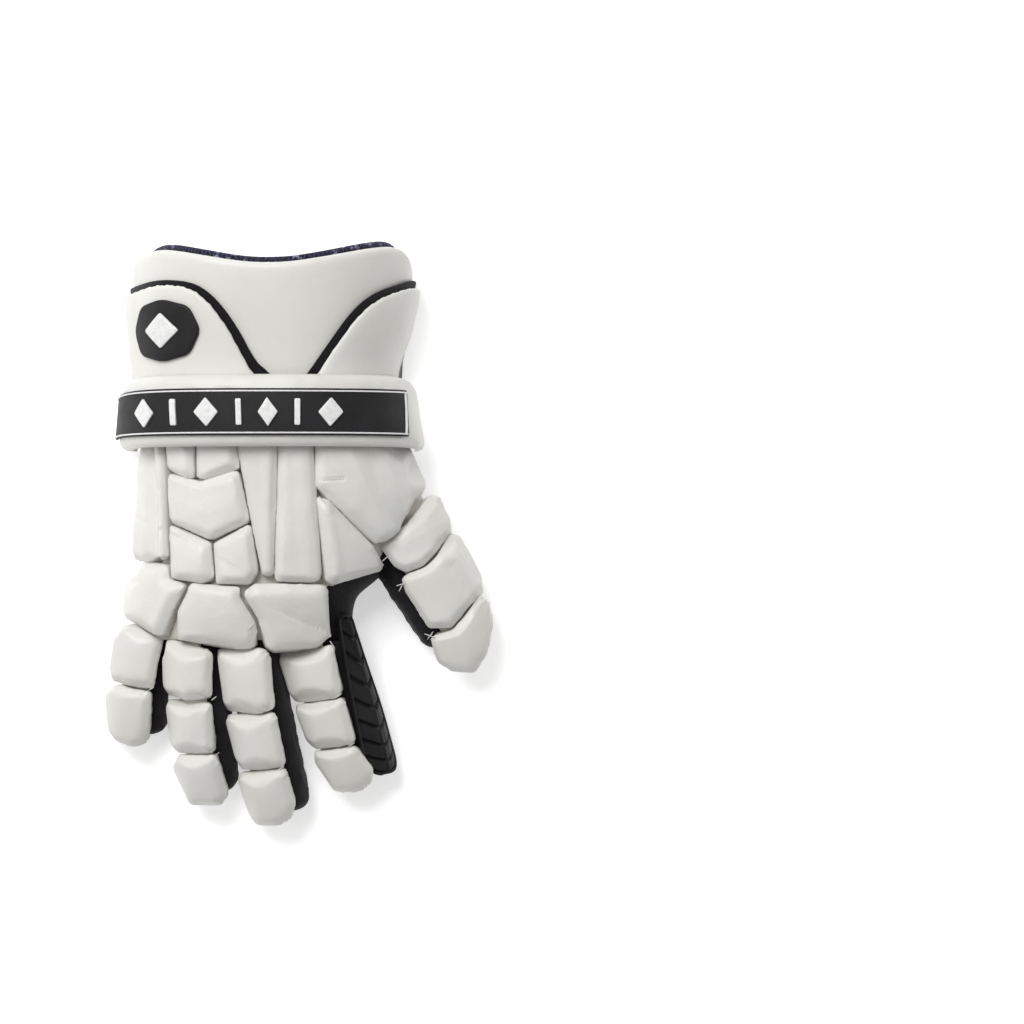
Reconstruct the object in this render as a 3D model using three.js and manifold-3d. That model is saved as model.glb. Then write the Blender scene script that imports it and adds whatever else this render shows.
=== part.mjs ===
// A padded sport glove for the right hand, lying palm down.
// Millimetres, +Z up off the back of the hand, +Y towards the cuff, +X towards the thumb.
import * as THREE from "three";
import { mergeVertices } from "three/addons/utils/BufferGeometryUtils.js";
import Module from "manifold-3d";

// Driving dimensions
const GLOVE_LENGTH = 330;
const GLOVE_WIDTH = 220;
const HAND_HEIGHT = 60;
const CUFF_FLARE = 24;
const FLANK_HEIGHT = 14;
const KNIT_WALL = 2;
const PALM_THICKNESS = 2;
const BACK_PAD = 13;
const FINGER_PAD = 11.5;
const THUMB_PAD = 13;
const PAD_CHAMFER = 4.5;
const PAD_CROWN = 0.8;
const PLATE_THICKNESS = 6.5;
const LINING_THICKNESS = 1.6;
const LINING_PROUD = 2.4;
const FELT_THICKNESS = 1.6;
const FACE_THICKNESS = 3.2;
const ROLL_THICKNESS = 8;
const ROLL_FLARE = 3;
const ROLL_LOW_FALL = 2;
const ROLL_HIGH_FALL = 6.5;
const STRAP_THICKNESS = 1.8;
const LINE_HEIGHT = 0.7;
const MOTIF_HEIGHT = 1.2;
const PATCH_THICKNESS = 2;
const GUARD_THICKNESS = 4;
const GUARD_RIM = 1.4;
const FINGER_TIP_DEPTH = 22;
const THUMB_DEPTH = 34;
const THUMB_TIP_DEPTH = 25;
const CLEARANCE = 0.3;
const PAD_SEAT = 0.7;
const LAYER_SEAT = 1;

// Sections are superellipses: 2 would be a plain ellipse, more is boxier.
const ARCH_FULLNESS = 2.5;
const QUARTER = Math.PI / 2;

// The hand and cuff as an arch. at, left and right are percent of the glove's length and width
// from its middle, crown is a share of HAND_HEIGHT and flare a share of CUFF_FLARE.
const ARCH = [
  { at: 52, left: -39.6, right: 26.6, crown: 1.0, flare: 1.0 },
  { at: 43.5, left: -38.7, right: 25.2, crown: 1.0, flare: 0.78 },
  { at: 35, left: -37.4, right: 22.1, crown: 1.0, flare: 0.5 },
  { at: 27, left: -36.3, right: 18.5, crown: 1.02, flare: 0.22 },
  { at: 21, left: -34.8, right: 19.8, crown: 1.05, flare: 0.06 },
  { at: 15, left: -35.6, right: 22.8, crown: 1.05, flare: 0 },
  { at: 11, left: -36.6, right: 26.0, crown: 1.03, flare: 0 },
  { at: 7, left: -37.3, right: 27.4, crown: 1.0, flare: 0 },
  { at: -1.7, left: -38.3, right: 24.0, crown: 0.97, flare: 0 },
  { at: -7, left: -39.0, right: 20.5, crown: 0.94, flare: 0 },
  { at: -11, left: -40.4, right: 14.2, crown: 0.9, flare: 0 },
  { at: -18, left: -42.4, right: 13.0, crown: 0.78, flare: 0 },
];

// Where each length of the glove begins and ends, in percent of its length
const KNUCKLE_END = -18;
const KNIT_TOP = 22.5;
const PALM_TOP = 19;
const PLATE_LOW = 17.2;
const LINING_LOW = 24;
const OVERLAY_LOW = 20.6;
const ROLL_LOW = 15;
const ROLL_HIGH = 27.2;

// Fingers: root and tip of each core in percent of the width and length, width and tipWidth in mm.
const FINGERS = [
  { name: "little", root: [-39.1, -18.1], tip: [-40.2, -33.4], width: 24, tipWidth: 24.5 },
  { name: "ring", root: [-25.7, -18.1], tip: [-21.7, -43.2], width: 26, tipWidth: 25.2 },
  { name: "middle", root: [-12.5, -18.1], tip: [-3.7, -46.6], width: 29.4, tipWidth: 28 },
  { name: "index", root: [5.0, -18.1], tip: [14.6, -39.8], width: 36, tipWidth: 31 },
];
const THUMB = { name: "thumb", root: [17.5, 7.8], tip: [39.7, -17.5], width: 45, tipWidth: 34.5 };

// Pad outlines seen from above, in percent of the glove's width and length.
const BACK_PADS = {
  long_pad_outer: [[-42.0, 16.2], [-37.4, 16.2], [-36.2, 6], [-35.9, -3.6], [-38.5, -4.6], [-42.6, -4.2],
    [-43.6, -2.9], [-42.9, 11.4]],
  long_pad_inner: [[-36.7, 16.2], [-34.7, 16.2], [-33.9, 6], [-33.4, -3.8], [-35.2, -4.3], [-35.6, 6]],
  crown_pad_left: [[-34.1, 16.2], [-26.7, 16.2], [-26.6, 9.8], [-28.5, 9.7], [-33.4, 11.4]],
  crown_pad_right: [[-25.7, 16.2], [-15.9, 16.2], [-14.9, 11.4], [-23.6, 9.6], [-25.6, 9.8]],
  chevron_pad: [[-33.4, 9.9], [-32.6, 10.2], [-24.9, 8.9], [-16.2, 10.7], [-15.1, 10.6], [-12.3, 2.4],
    [-22.1, -0.7], [-32.6, 2.4]],
  small_pad_left: [[-32.8, 1.5], [-22.3, -1.5], [-21.6, -7.2], [-24.4, -8.0], [-32.4, -7.2]],
  small_pad_right: [[-21.3, -1.5], [-12.1, 1.7], [-10.2, -6.1], [-12.3, -8.2], [-20.5, -8.0]],
  ridge_pad_middle: [[-15.4, 16.2], [-5.1, 16.2], [-5.7, 4], [-6.4, -6.8], [-8.7, -6.7], [-12, 4]],
  ridge_pad_index: [[-4.4, 16.2], [3.8, 16.2], [5.0, 4], [6.0, -6.8], [4.9, -7.8], [-5.1, -7.7],
    [-5.6, -6.8], [-5.0, 4]],
  triangle_pad: [[5.1, 6.3], [7.9, 5.8], [19.0, -1.9], [22.2, -5.8], [9.2, -8.3], [7.4, -7.5]],
  base_pad: [[4.8, 16.2], [18, 16.2], [30, 16.2], [33.1, 8.8], [32.6, 7.5], [26.3, 2.6], [25.9, 0.9],
    [21.8, -1.0], [19.7, -1.2], [4.8, 8.4]],
};
const KNUCKLE_PADS = {
  knuckle_pad_little: [[-40.0, -4.9], [-33.5, -5.5], [-33.4, -7.6], [-28.9, -8.6], [-32.0, -12.5],
    [-34.6, -17.0], [-36.9, -16.8], [-45.6, -14.1], [-46.4, -12.6], [-45.6, -7.6]],
  knuckle_pad_middle: [[-27.4, -8.7], [-14.8, -9.3], [-15.2, -10.3], [-11.4, -14.5], [-10.7, -15.9],
    [-11.1, -19.0], [-14.6, -19.2], [-30.8, -17.6], [-30.8, -13.0], [-29.0, -10.8]],
  knuckle_pad_index: [[-13.6, -10.0], [-10.8, -8.8], [6.0, -8.9], [7.5, -9.3], [7.9, -15.5], [8.2, -17.1],
    [5.1, -19.0], [-6.2, -19.6], [-8.0, -18.7], [-9.8, -14.2]],
};
const FINGER_PADS = {
  little_pad_root: [[-44.7, -15.4], [-37.2, -17.5], [-34.5, -17.9], [-36.2, -22.0], [-37.4, -26.2],
    [-43.1, -25.8], [-47.9, -25.0], [-49.3, -23.4], [-47.8, -17.7]],
  little_pad_tip: [[-47.0, -25.9], [-43.1, -26.7], [-37.9, -27.1], [-38.2, -29.0], [-38.7, -33.1],
    [-39.7, -35.9], [-43.1, -36.5], [-47.4, -35.5], [-49.8, -34.0], [-50.6, -28.2], [-49.8, -26.4]],
  ring_pad_root: [[-33.4, -18.8], [-21.7, -20.2], [-22.3, -27.6], [-28.5, -28.1], [-33.4, -27.4],
    [-35.1, -26.5], [-35.2, -21.3]],
  ring_pad_middle: [[-33.5, -28.4], [-22.3, -28.9], [-21.7, -36.9], [-22.7, -37.3], [-31.0, -37.3],
    [-33.0, -36.6], [-34.0, -35.3], [-34.3, -29.4]],
  ring_pad_tip: [[-31.0, -37.9], [-21.6, -37.9], [-20.6, -39.1], [-18.2, -44.8], [-20.6, -46.5],
    [-28.4, -46.5], [-33.6, -39.8]],
  middle_pad_root: [[-20.3, -20.2], [-9.2, -20.1], [-7.0, -20.9], [-6.0, -29.4], [-9.5, -30.3],
    [-18.4, -30.0], [-19.4, -29.3], [-20.8, -21.0]],
  middle_pad_middle: [[-18.0, -30.9], [-5.8, -30.6], [-3.4, -39.0], [-4.2, -39.6], [-14.4, -40.2],
    [-16.7, -38.7], [-19.0, -31.9]],
  middle_pad_tip: [[-15.1, -40.9], [-3.3, -40.2], [-1.0, -46.1], [-2.0, -48.5], [-5.3, -50.0],
    [-11.2, -50.0], [-13.2, -48.5], [-16.4, -42.3]],
  index_pad_root: [[-5.1, -20.5], [7.9, -19.9], [8.7, -19.1], [11.0, -26.5], [10.0, -27.7], [-0.8, -28.6],
    [-2.8, -27.8], [-5.4, -21.8]],
  index_pad_middle: [[-0.8, -29.3], [11.5, -28.1], [14.4, -35.2], [13.3, -35.8], [4.1, -36.7], [1.5, -35.5],
    [-1.2, -30.5]],
  index_pad_tip: [[4.0, -37.4], [14.5, -36.5], [19.2, -40.6], [18.2, -42.9], [15.2, -44.3], [9.0, -44.3],
    [3.1, -39.0]],
};
const THUMB_PADS = {
  thumb_pad_root: [[27.6, 1.6], [33.8, 6.7], [36.2, 7.4], [39.4, 2.6], [39.1, 0.7], [34.9, -2.9],
    [31.5, -5.2], [27.2, -6.2], [24.3, -5.3], [20.6, -1.7]],
  thumb_pad_middle: [[38.9, 0.0], [42.2, 0.9], [48.7, -7.3], [47.6, -9.6], [44.1, -11.8], [39.2, -15.7],
    [33.3, -15.9], [27.4, -9.6], [26.6, -7.6], [28.2, -6.9], [32.3, -5.9], [35.6, -4.0]],
  thumb_pad_tip: [[46.5, -10.5], [49.6, -11.6], [50.1, -15.4], [48.6, -20.4], [45.4, -23.9], [39.2, -23.5],
    [35.6, -22.0], [34.2, -18.8], [34.1, -17.8], [39.5, -16.7], [44.4, -13.0]],
};
// The ribbed rubber guard on the outer side of the index finger: where it begins and ends along
// the finger and round it, in shares of its length and of a quarter turn, and its ribs along it.
const GUARD = { from: 0.03, to: 0.98, start: 0.3, end: 1.1 };
const RIBS = { count: 8, share: 0.78, from: 0.08, to: 0.9 };

// Lozenges and bars raised on the strap, and the plaque on the cuff, in mm from their own middle.
// Along the strap they stand whole steps of MOTIF_SPACING from its middle.
const MOTIF_SPACING = 20;
const LOZENGE = [[0, 8.2], [7.4, 0], [0, -8.2], [-7.4, 0]];
const BAR = [[-1.8, 7.4], [1.8, 7.4], [1.8, -7.4], [-1.8, -7.4]];
const STRAP_MOTIFS = [
  { name: "strap_lozenge_1", step: -3, outline: LOZENGE },
  { name: "strap_bar_1", step: -2, outline: BAR },
  { name: "strap_lozenge_2", step: -1, outline: LOZENGE },
  { name: "strap_bar_2", step: 0, outline: BAR },
  { name: "strap_lozenge_3", step: 1, outline: LOZENGE },
  { name: "strap_bar_3", step: 2, outline: BAR },
  { name: "strap_lozenge_4", step: 3, outline: LOZENGE },
];
const PLAQUE = [[-24, 0], [-17, 13.5], [0, 17.5], [17, 13.5], [24, 0], [17, -13.5], [0, -17.5], [-17, -13.5]];
const PLAQUE_AT = { turn: -0.5, place: 34.6 };
const PLAQUE_LOZENGE = [[0, 10], [12, 0], [0, -10], [-12, 0]];

// Upper edges of the cuff's layers: x in percent of the width, y in percent of the length.
const RIM = [[-43.4, 43.6], [-42.8, 45.9], [-40.6, 47.7], [-35.9, 48.4], [-25.4, 47.4], [-14, 46.2],
  [-5.1, 45.9], [7.9, 47.1], [21.8, 48.8], [26.6, 48.9], [28.6, 47.8], [29.4, 45.6]];
const WING = [[-43.5, 42.2], [-35.6, 43.2], [-25.4, 42.5], [-22.1, 41.1], [-18.2, 38.4], [-14.6, 34.8],
  [-10.3, 29.5], [-8.2, 27.4], [-6.4, 25.6], [1.8, 25.6], [3.6, 27.6], [7.9, 32.4], [12.6, 36.9],
  [15.4, 38.9], [19.7, 41.0], [25.6, 42.6], [29.4, 43.6], [31.8, 43.3]];
const FACE = [[-44, 41.1], [-35.6, 42.3], [-26.2, 41.5], [-23.4, 40.0], [-20.0, 37.4], [-16.4, 33.8],
  [-12.1, 28.5], [-9.6, 25.8], [-7.4, 24.1], [2.8, 24.1], [5.2, 26.2], [9.7, 31.4], [14.1, 35.7],
  [16.9, 37.7], [21.0, 39.8], [26.2, 41.3], [30.2, 42.2], [32.2, 41.9]];

// How far round the arch each cuff piece reaches: 1 is the widest point, 2 is the floor.
const PLATE_REACH = 1.85;
const OVERLAY_REACH = 1.7;
const ROLL_REACH = 1.8;
const STRAP_FROM = -0.93;
const STRAP_TO = 0.69;

const COLOURS = {
  leather: { color: 0xe4e4df, roughness: 0.45, metalness: 0 },
  palm: { color: 0x2a282c, roughness: 0.75, metalness: 0 },
  knit: { color: 0x17151a, roughness: 0.95, metalness: 0 },
  rubber: { color: 0x2c2b2e, roughness: 0.6, metalness: 0 },
  felt: { color: 0x141216, roughness: 1, metalness: 0 },
  lining: { color: 0x23244a, roughness: 0.9, metalness: 0 },
  print: { color: 0xe9e9e6, roughness: 0.5, metalness: 0 },
};

const wasm = await Module();
wasm.setup();
const glove = new THREE.Group();

const acrossMm = (percent) => (percent / 100) * GLOVE_WIDTH;
const alongMm = (percent) => (percent / 100) * GLOVE_LENGTH;
const mix = (a, b, t) => a + (b - a) * t;
const clamp = (value, low, high) => Math.min(high, Math.max(low, value));
const steps = (from, to, count) => Array.from({ length: count + 1 }, (_, i) => mix(from, to, i / count));

// Reads a value between the rows of a table whose places fall or rise steadily, on a smooth curve.
function readSmooth(places, values, at) {
  const last = places.length - 1;
  const rising = places[last] > places[0];
  let i = 0;
  while (i < last - 1 && (rising ? at > places[i + 1] : at < places[i + 1])) i += 1;
  const t = clamp((at - places[i]) / (places[i + 1] - places[i]), 0, 1);
  const slope = (k) => {
    const before = Math.max(k - 1, 0);
    const after = Math.min(k + 1, last);
    return (values[after] - values[before]) / (places[after] - places[before]);
  };
  const span = places[i + 1] - places[i];
  const t2 = t * t;
  const t3 = t2 * t;
  return (2 * t3 - 3 * t2 + 1) * values[i] + (t3 - 2 * t2 + t) * span * slope(i)
    + (3 * t2 - 2 * t3) * values[i + 1] + (t3 - t2) * span * slope(i + 1);
}

// The upper half of a superellipse at a share of a quarter turn from its top, with its outward normal.
function superellipse(turn, halfWidth, halfHeight) {
  const s = Math.sin(turn * QUARTER);
  const c = Math.cos(turn * QUARTER);
  const power = 2 / ARCH_FULLNESS;
  const across = Math.sign(s) * Math.abs(s) ** power;
  const up = Math.sign(c) * Math.abs(c) ** power;
  const lean = ARCH_FULLNESS - 1;
  const nx = (Math.sign(across) * Math.abs(across) ** lean) / halfWidth;
  const nz = (Math.sign(up) * Math.abs(up) ** lean) / halfHeight;
  const length = Math.hypot(nx, nz);
  return { x: across * halfWidth, z: up * halfHeight, nx: nx / length, nz: nz / length };
}

// The arch of the hand and cuff at a place along the glove, in mm.
const ARCH_PLACES = ARCH.map((row) => row.at);
function archSection(y) {
  const at = (y / GLOVE_LENGTH) * 100;
  const column = (name) => readSmooth(ARCH_PLACES, ARCH.map((row) => row[name]), at);
  const left = acrossMm(column("left"));
  const right = acrossMm(column("right"));
  const crown = HAND_HEIGHT * column("crown") + CUFF_FLARE * column("flare");
  return { middle: (left + right) / 2, half: (right - left) / 2, rise: crown - FLANK_HEIGHT, left, right };
}

// A point on the arch: turn from -2 (floor at the little finger) over 0 (crown) to 2 (floor at the thumb).
function onArch(turn, y, raised) {
  const section = archSection(y);
  if (Math.abs(turn) > 1) {
    const side = Math.sign(turn);
    const x = section.middle + side * (section.half + raised);
    return new THREE.Vector3(x, y, FLANK_HEIGHT * (2 - Math.abs(turn)));
  }
  const p = superellipse(turn, section.half, section.rise);
  return new THREE.Vector3(section.middle + p.x + raised * p.nx, y, FLANK_HEIGHT + p.z + raised * p.nz);
}

// Height of the arch over a spot.
function archHeight(x, y) {
  const section = archSection(y);
  const t = clamp(Math.abs(x - section.middle) / section.half, 0, 1);
  return FLANK_HEIGHT + section.rise * (1 - t ** ARCH_FULLNESS) ** (1 / ARCH_FULLNESS);
}

// A finger's core: its centre line bends down to the tip, with a superellipse section across it.
function fingerCore(finger, rootDepth, rootLow, tipDepth, square) {
  const root = new THREE.Vector2(acrossMm(finger.root[0]), alongMm(finger.root[1]));
  const tip = new THREE.Vector2(acrossMm(finger.tip[0]), alongMm(finger.tip[1]));
  const reach = root.distanceTo(tip);
  const heading = tip.clone().sub(root).divideScalar(reach);
  const rootZ = rootLow + rootDepth / 2;
  const tipZ = tipDepth / 2;
  const controls = [[0, rootZ], [0.45, rootZ], [0.85, mix(tipZ, rootZ, 0.62)], [1, tipZ]];
  const bent = controls.map(([share, z]) => {
    return new THREE.Vector3(root.x + heading.x * reach * share, root.y + heading.y * reach * share, z);
  });
  const line = new THREE.CubicBezierCurve3(...bent);
  const side = square ? new THREE.Vector3(1, 0, 0) : new THREE.Vector3(-heading.y, heading.x, 0);
  const halfWidth = (s) => mix(finger.width, finger.tipWidth, s) / 2;
  const halfDepth = (s) => mix(rootDepth, tipDepth, s) / 2;
  return { line, side, halfWidth, halfDepth, reach };
}

// A point on a finger: turn from -2 (underside) over -1 (left), 0 (top) and 1 (right), along from 0 to 1.
function onFinger(core, turn, along, raised) {
  const s = clamp(along, 0, 1);
  const centre = core.line.getPoint(s);
  const tangent = core.line.getTangent(s);
  const up = new THREE.Vector3().crossVectors(core.side, tangent).normalize();
  if (up.z < 0) up.negate();
  centre.addScaledVector(tangent, (along - s) * core.reach);
  const p = superellipse(turn, core.halfWidth(s), core.halfDepth(s));
  centre.addScaledVector(core.side, p.x + raised * p.nx);
  return centre.addScaledVector(up, p.z + raised * p.nz);
}

// Walks over a surface until the raised point stands over a wanted spot seen from above.
const LEAST_SLOPE = 0.15;
function standOver(surface, start, spot, raised) {
  let [turn, along] = start;
  const nudge = surface.unit * 0.001;
  const share = (point, axis) => point.x * axis.x + point.y * axis.y;
  const wantedSide = share(spot, surface.side);
  const wantedHeading = share(spot, surface.heading);
  for (let i = 0; i < 60; i += 1) {
    const here = surface.place(turn, along, raised);
    const turned = surface.place(turn + 0.001, along, raised);
    const moved = surface.place(turn, along + nudge, raised);
    const perTurn = share(turned, surface.side) - share(here, surface.side);
    const perStep = share(moved, surface.heading) - share(here, surface.heading);
    const missSide = wantedSide - share(here, surface.side);
    const missHeading = wantedHeading - share(here, surface.heading);
    const turnSlope = Math.max(perTurn / 0.001, 10);
    const stepSlope = Math.max(perStep / nudge, LEAST_SLOPE / surface.unit);
    turn = clamp(turn + clamp(missSide / turnSlope, -0.1, 0.1), -1, 1);
    along += clamp(missHeading / stepSlope, -0.05 * surface.unit, 0.05 * surface.unit);
    along = clamp(along, surface.limit[0], surface.limit[1]);
  }
  return [turn, along];
}

// Turns rings of points and two closing points into one closed body: first ring to last ring.
function skin(rings, startPoint, endPoint) {
  const count = rings[0].length;
  const points = [startPoint, ...rings.flat(), endPoint];
  const faces = [];
  const ring = (r, i) => 1 + r * count + (i % count);
  for (let i = 0; i < count; i += 1) faces.push(0, ring(0, i + 1), ring(0, i));
  for (let r = 0; r < rings.length - 1; r += 1) {
    for (let i = 0; i < count; i += 1) {
      faces.push(ring(r, i), ring(r, i + 1), ring(r + 1, i + 1));
      faces.push(ring(r, i), ring(r + 1, i + 1), ring(r + 1, i));
    }
  }
  const top = points.length - 1;
  const last = rings.length - 1;
  for (let i = 0; i < count; i += 1) faces.push(top, ring(last, i), ring(last, i + 1));
  return closedBody(points, faces);
}

function centreOfRing(ring) {
  return ring.reduce((sum, p) => sum.add(p), new THREE.Vector3()).divideScalar(ring.length);
}

// A geometry from points and triangles, turned right side out if its volume comes out negative.
function closedBody(points, faces) {
  let volume = 0;
  for (let i = 0; i < faces.length; i += 3) {
    const [a, b, c] = [points[faces[i]], points[faces[i + 1]], points[faces[i + 2]]];
    volume += a.dot(new THREE.Vector3().crossVectors(b, c));
  }
  const wound = [...faces];
  if (volume < 0) {
    for (let i = 0; i < wound.length; i += 3) [wound[i], wound[i + 1]] = [wound[i + 1], wound[i]];
  }
  const geometry = new THREE.BufferGeometry();
  geometry.setAttribute("position", new THREE.Float32BufferAttribute(points.flatMap((p) => p.toArray()), 3));
  geometry.setIndex(wound);
  return geometry;
}

// Boolean cut of one closed geometry by others.
function toSolid(geometry) {
  const merged = mergeVertices(geometry, 1e-4);
  const vertProperties = new Float32Array(merged.attributes.position.array);
  const triVerts = new Uint32Array(merged.index.array);
  return new wasm.Manifold(new wasm.Mesh({ numProp: 3, vertProperties, triVerts }));
}
function cutBy(geometry, ...cutters) {
  let solid = toSolid(geometry);
  for (const cutter of cutters) solid = solid.subtract(toSolid(cutter));
  const mesh = solid.getMesh();
  const result = new THREE.BufferGeometry();
  result.setAttribute("position", new THREE.BufferAttribute(mesh.vertProperties, 3));
  result.setIndex(new THREE.BufferAttribute(mesh.triVerts, 1));
  return result;
}

function addPiece(name, geometry, colour) {
  const flat = geometry.toNonIndexed();
  flat.computeVertexNormals();
  const mesh = new THREE.Mesh(flat, new THREE.MeshStandardMaterial(COLOURS[colour]));
  mesh.name = name;
  glove.add(mesh);
}

// A layer over the arch: a grid from turn to turn, between two edges along the glove,
// from an inner to an outer height. Edges and heights are functions.
function layer({ turns, low, high, rows, inner, outer }) {
  const loops = turns.map((turn) => {
    const at = (share) => mix(low(turn), high(turn), share);
    const outside = rows.map((share) => onArch(turn, at(share), outer(turn, share)));
    const inside = [...rows].reverse().map((share) => onArch(turn, at(share), inner(turn, share)));
    return [...outside, ...inside];
  });
  return skin(loops, centreOfRing(loops[0]), centreOfRing(loops[loops.length - 1]));
}

// An upper edge read from a table by the layer's own place across, falling away below its widest point.
const EDGE_FALL = 16;
function upperEdge(table, raised) {
  const places = table.map((row) => row[0]);
  const values = table.map((row) => row[1]);
  return (turn) => {
    let y = alongMm(values[0]);
    for (let i = 0; i < 4; i += 1) {
      const x = (onArch(clamp(turn, -1, 1), y, raised).x / GLOVE_WIDTH) * 100;
      y = alongMm(readSmooth(places, values, x));
    }
    return y - EDGE_FALL * Math.max(Math.abs(turn) - 1, 0);
  };
}

// The knit hand: a tube with a flat underside, open at both ends.
const SHELL_TURNS = [-1.6, ...steps(-1, 1, 16), 1.6];
const SHELL_PLACES = [KNUCKLE_END, -14.5, -11, -7, -1.7, 7, 11, 15, KNIT_TOP];
const SHELL_FLOOR = PALM_THICKNESS + CLEARANCE;
const SHELL_UNDER = 0.9;
const PALM_SHARE = 0.88;
function shellRing(percent, raised, low) {
  const y = alongMm(percent);
  const section = archSection(y);
  const over = SHELL_TURNS.map((turn) => onArch(turn, y, raised));
  const edge = SHELL_UNDER * section.half;
  const under = [edge, 0, -edge].map((x) => new THREE.Vector3(section.middle + x, y, low));
  return [...over, ...under];
}
function tubeBetween(outer, inner) {
  const rings = [...outer, ...[...inner].reverse()];
  const count = rings[0].length;
  const points = rings.flat();
  const faces = [];
  for (let r = 0; r < rings.length; r += 1) {
    const next = (r + 1) % rings.length;
    for (let i = 0; i < count; i += 1) {
      const j = (i + 1) % count;
      faces.push(r * count + i, r * count + j, next * count + j);
      faces.push(r * count + i, next * count + j, next * count + i);
    }
  }
  return closedBody(points, faces);
}
function handShell() {
  const outer = SHELL_PLACES.map((at) => shellRing(at, 0, SHELL_FLOOR));
  const inner = SHELL_PLACES.map((at) => shellRing(at, -KNIT_WALL, SHELL_FLOOR + KNIT_WALL));
  return tubeBetween(outer, inner);
}
function handSolid(grow) {
  const rings = SHELL_PLACES.map((at) => shellRing(at, grow, SHELL_FLOOR - grow));
  return skin(rings, centreOfRing(rings[0]), centreOfRing(rings[rings.length - 1]));
}

// The flat leather palm under the hand.
function palm() {
  const rows = steps(KNUCKLE_END, PALM_TOP, 9).map((percent) => {
    const y = alongMm(percent);
    const section = archSection(y);
    const half = PALM_SHARE * section.half;
    const corner = (x, z) => new THREE.Vector3(section.middle + x, y, z);
    return [corner(-half, 0), corner(half, 0), corner(half, PALM_THICKNESS), corner(-half, PALM_THICKNESS)];
  });
  return skin(rows, centreOfRing(rows[0]), centreOfRing(rows[rows.length - 1]));
}

// A finger sleeve: a hollow tube with a closed, rounded tip and an open root.
const SLEEVE_TURNS = steps(-2, 2, 12).slice(0, -1);
const SLEEVE_STEPS = [0, 0.22, 0.45, 0.68, 0.85];
const TIP_ROUNDING = [[0.94, 0.94], [0.99, 0.72], [1.02, 0.38]];
function sleeveRings(core, raised) {
  const full = SLEEVE_STEPS.map((along) => SLEEVE_TURNS.map((turn) => onFinger(core, turn, along, raised)));
  const rounded = TIP_ROUNDING.map(([along, share]) => {
    const ring = SLEEVE_TURNS.map((turn) => onFinger(core, turn, along, raised));
    const centre = centreOfRing(ring);
    return ring.map((p) => p.lerp(centre, 1 - share).addScaledVector(tipHeading(core), raised * (1 - share)));
  });
  return [...full, ...rounded];
}
const tipHeading = (core) => core.line.getTangent(1);
function tipPoint(core, raised) {
  return core.line.getPoint(1).addScaledVector(tipHeading(core), 0.022 * core.reach + raised);
}
function aboveFloor(rings) {
  rings.flat().forEach((p) => p.setZ(Math.max(p.z, 0)));
}
function sleeve(core) {
  const outer = sleeveRings(core, 0);
  const inner = sleeveRings(core, -KNIT_WALL);
  const rings = [...[...outer].reverse(), ...inner];
  aboveFloor(outer);
  inner.flat().forEach((p) => p.setZ(Math.max(p.z, KNIT_WALL)));
  return skin(rings, tipPoint(core, 0), tipPoint(core, -KNIT_WALL));
}
function sleeveSolid(core, grow) {
  const rings = sleeveRings(core, grow);
  return skin(rings, centreOfRing(rings[0]), tipPoint(core, grow));
}

// Points of an outline in mm, with long edges divided.
function outlineMm(outline, longest) {
  const corners = outline.map(([x, y]) => new THREE.Vector2(acrossMm(x), alongMm(y)));
  return corners.flatMap((a, i) => {
    const b = corners[(i + 1) % corners.length];
    const parts = Math.max(1, Math.round(a.distanceTo(b) / longest));
    return steps(0, 1, parts).slice(0, -1).map((t) => a.clone().lerp(b, t));
  });
}

// How far a ray from a point runs before it meets one of the outline's edges that don't start or end there.
function roomAhead(points, i, way) {
  const count = points.length;
  let room = Infinity;
  for (let k = 1; k < count - 1; k += 1) {
    const a = points[(i + k) % count];
    const edge = points[(i + k + 1) % count].clone().sub(a);
    const out = a.clone().sub(points[i]);
    const across = way.cross(edge);
    const reach = out.cross(edge) / across;
    const share = out.cross(way) / across;
    if (reach > 0 && share >= 0 && share <= 1) room = Math.min(room, reach);
  }
  return room;
}

// An outline moved inwards by a distance, each corner along the mean of its two edges' normals,
// and by no more than a share of the width that the outline has there.
const INSET_SHARE = 0.36;
const SHORTEST_SHARE = 0.2;
function inset(points, distance) {
  const count = points.length;
  const area = points.reduce((sum, p, i) => sum + p.cross(points[(i + 1) % count]), 0);
  const moved = points.map((p, i) => {
    const before = p.clone().sub(points[(i + count - 1) % count]).normalize();
    const after = points[(i + 1) % count].clone().sub(p).normalize();
    const mean = before.clone().add(after).normalize();
    const way = new THREE.Vector2(-mean.y, mean.x).multiplyScalar(Math.sign(area));
    const wanted = distance * Math.min(1.6, 1 / Math.max(0.4, mean.dot(after)));
    return p.clone().addScaledVector(way, Math.min(wanted, INSET_SHARE * roomAhead(points, i, way)));
  });
  for (let round = 0; round < 8; round += 1) keepEdgesForward(points, moved);
  return moved;
}

// An edge that the move has shortened too far or turned round becomes a short one about its middle.
function keepEdgesForward(points, moved) {
  const count = points.length;
  for (let i = 0; i < count; i += 1) {
    const j = (i + 1) % count;
    const edge = points[j].clone().sub(points[i]);
    const kept = moved[j].clone().sub(moved[i]).dot(edge) / edge.lengthSq();
    if (kept < SHORTEST_SHARE) {
      const middle = moved[i].clone().lerp(moved[j], 0.5);
      moved[i].copy(middle).addScaledVector(edge, -SHORTEST_SHARE / 2);
      moved[j].copy(middle).addScaledVector(edge, SHORTEST_SHARE / 2);
    }
  }
}

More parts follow.
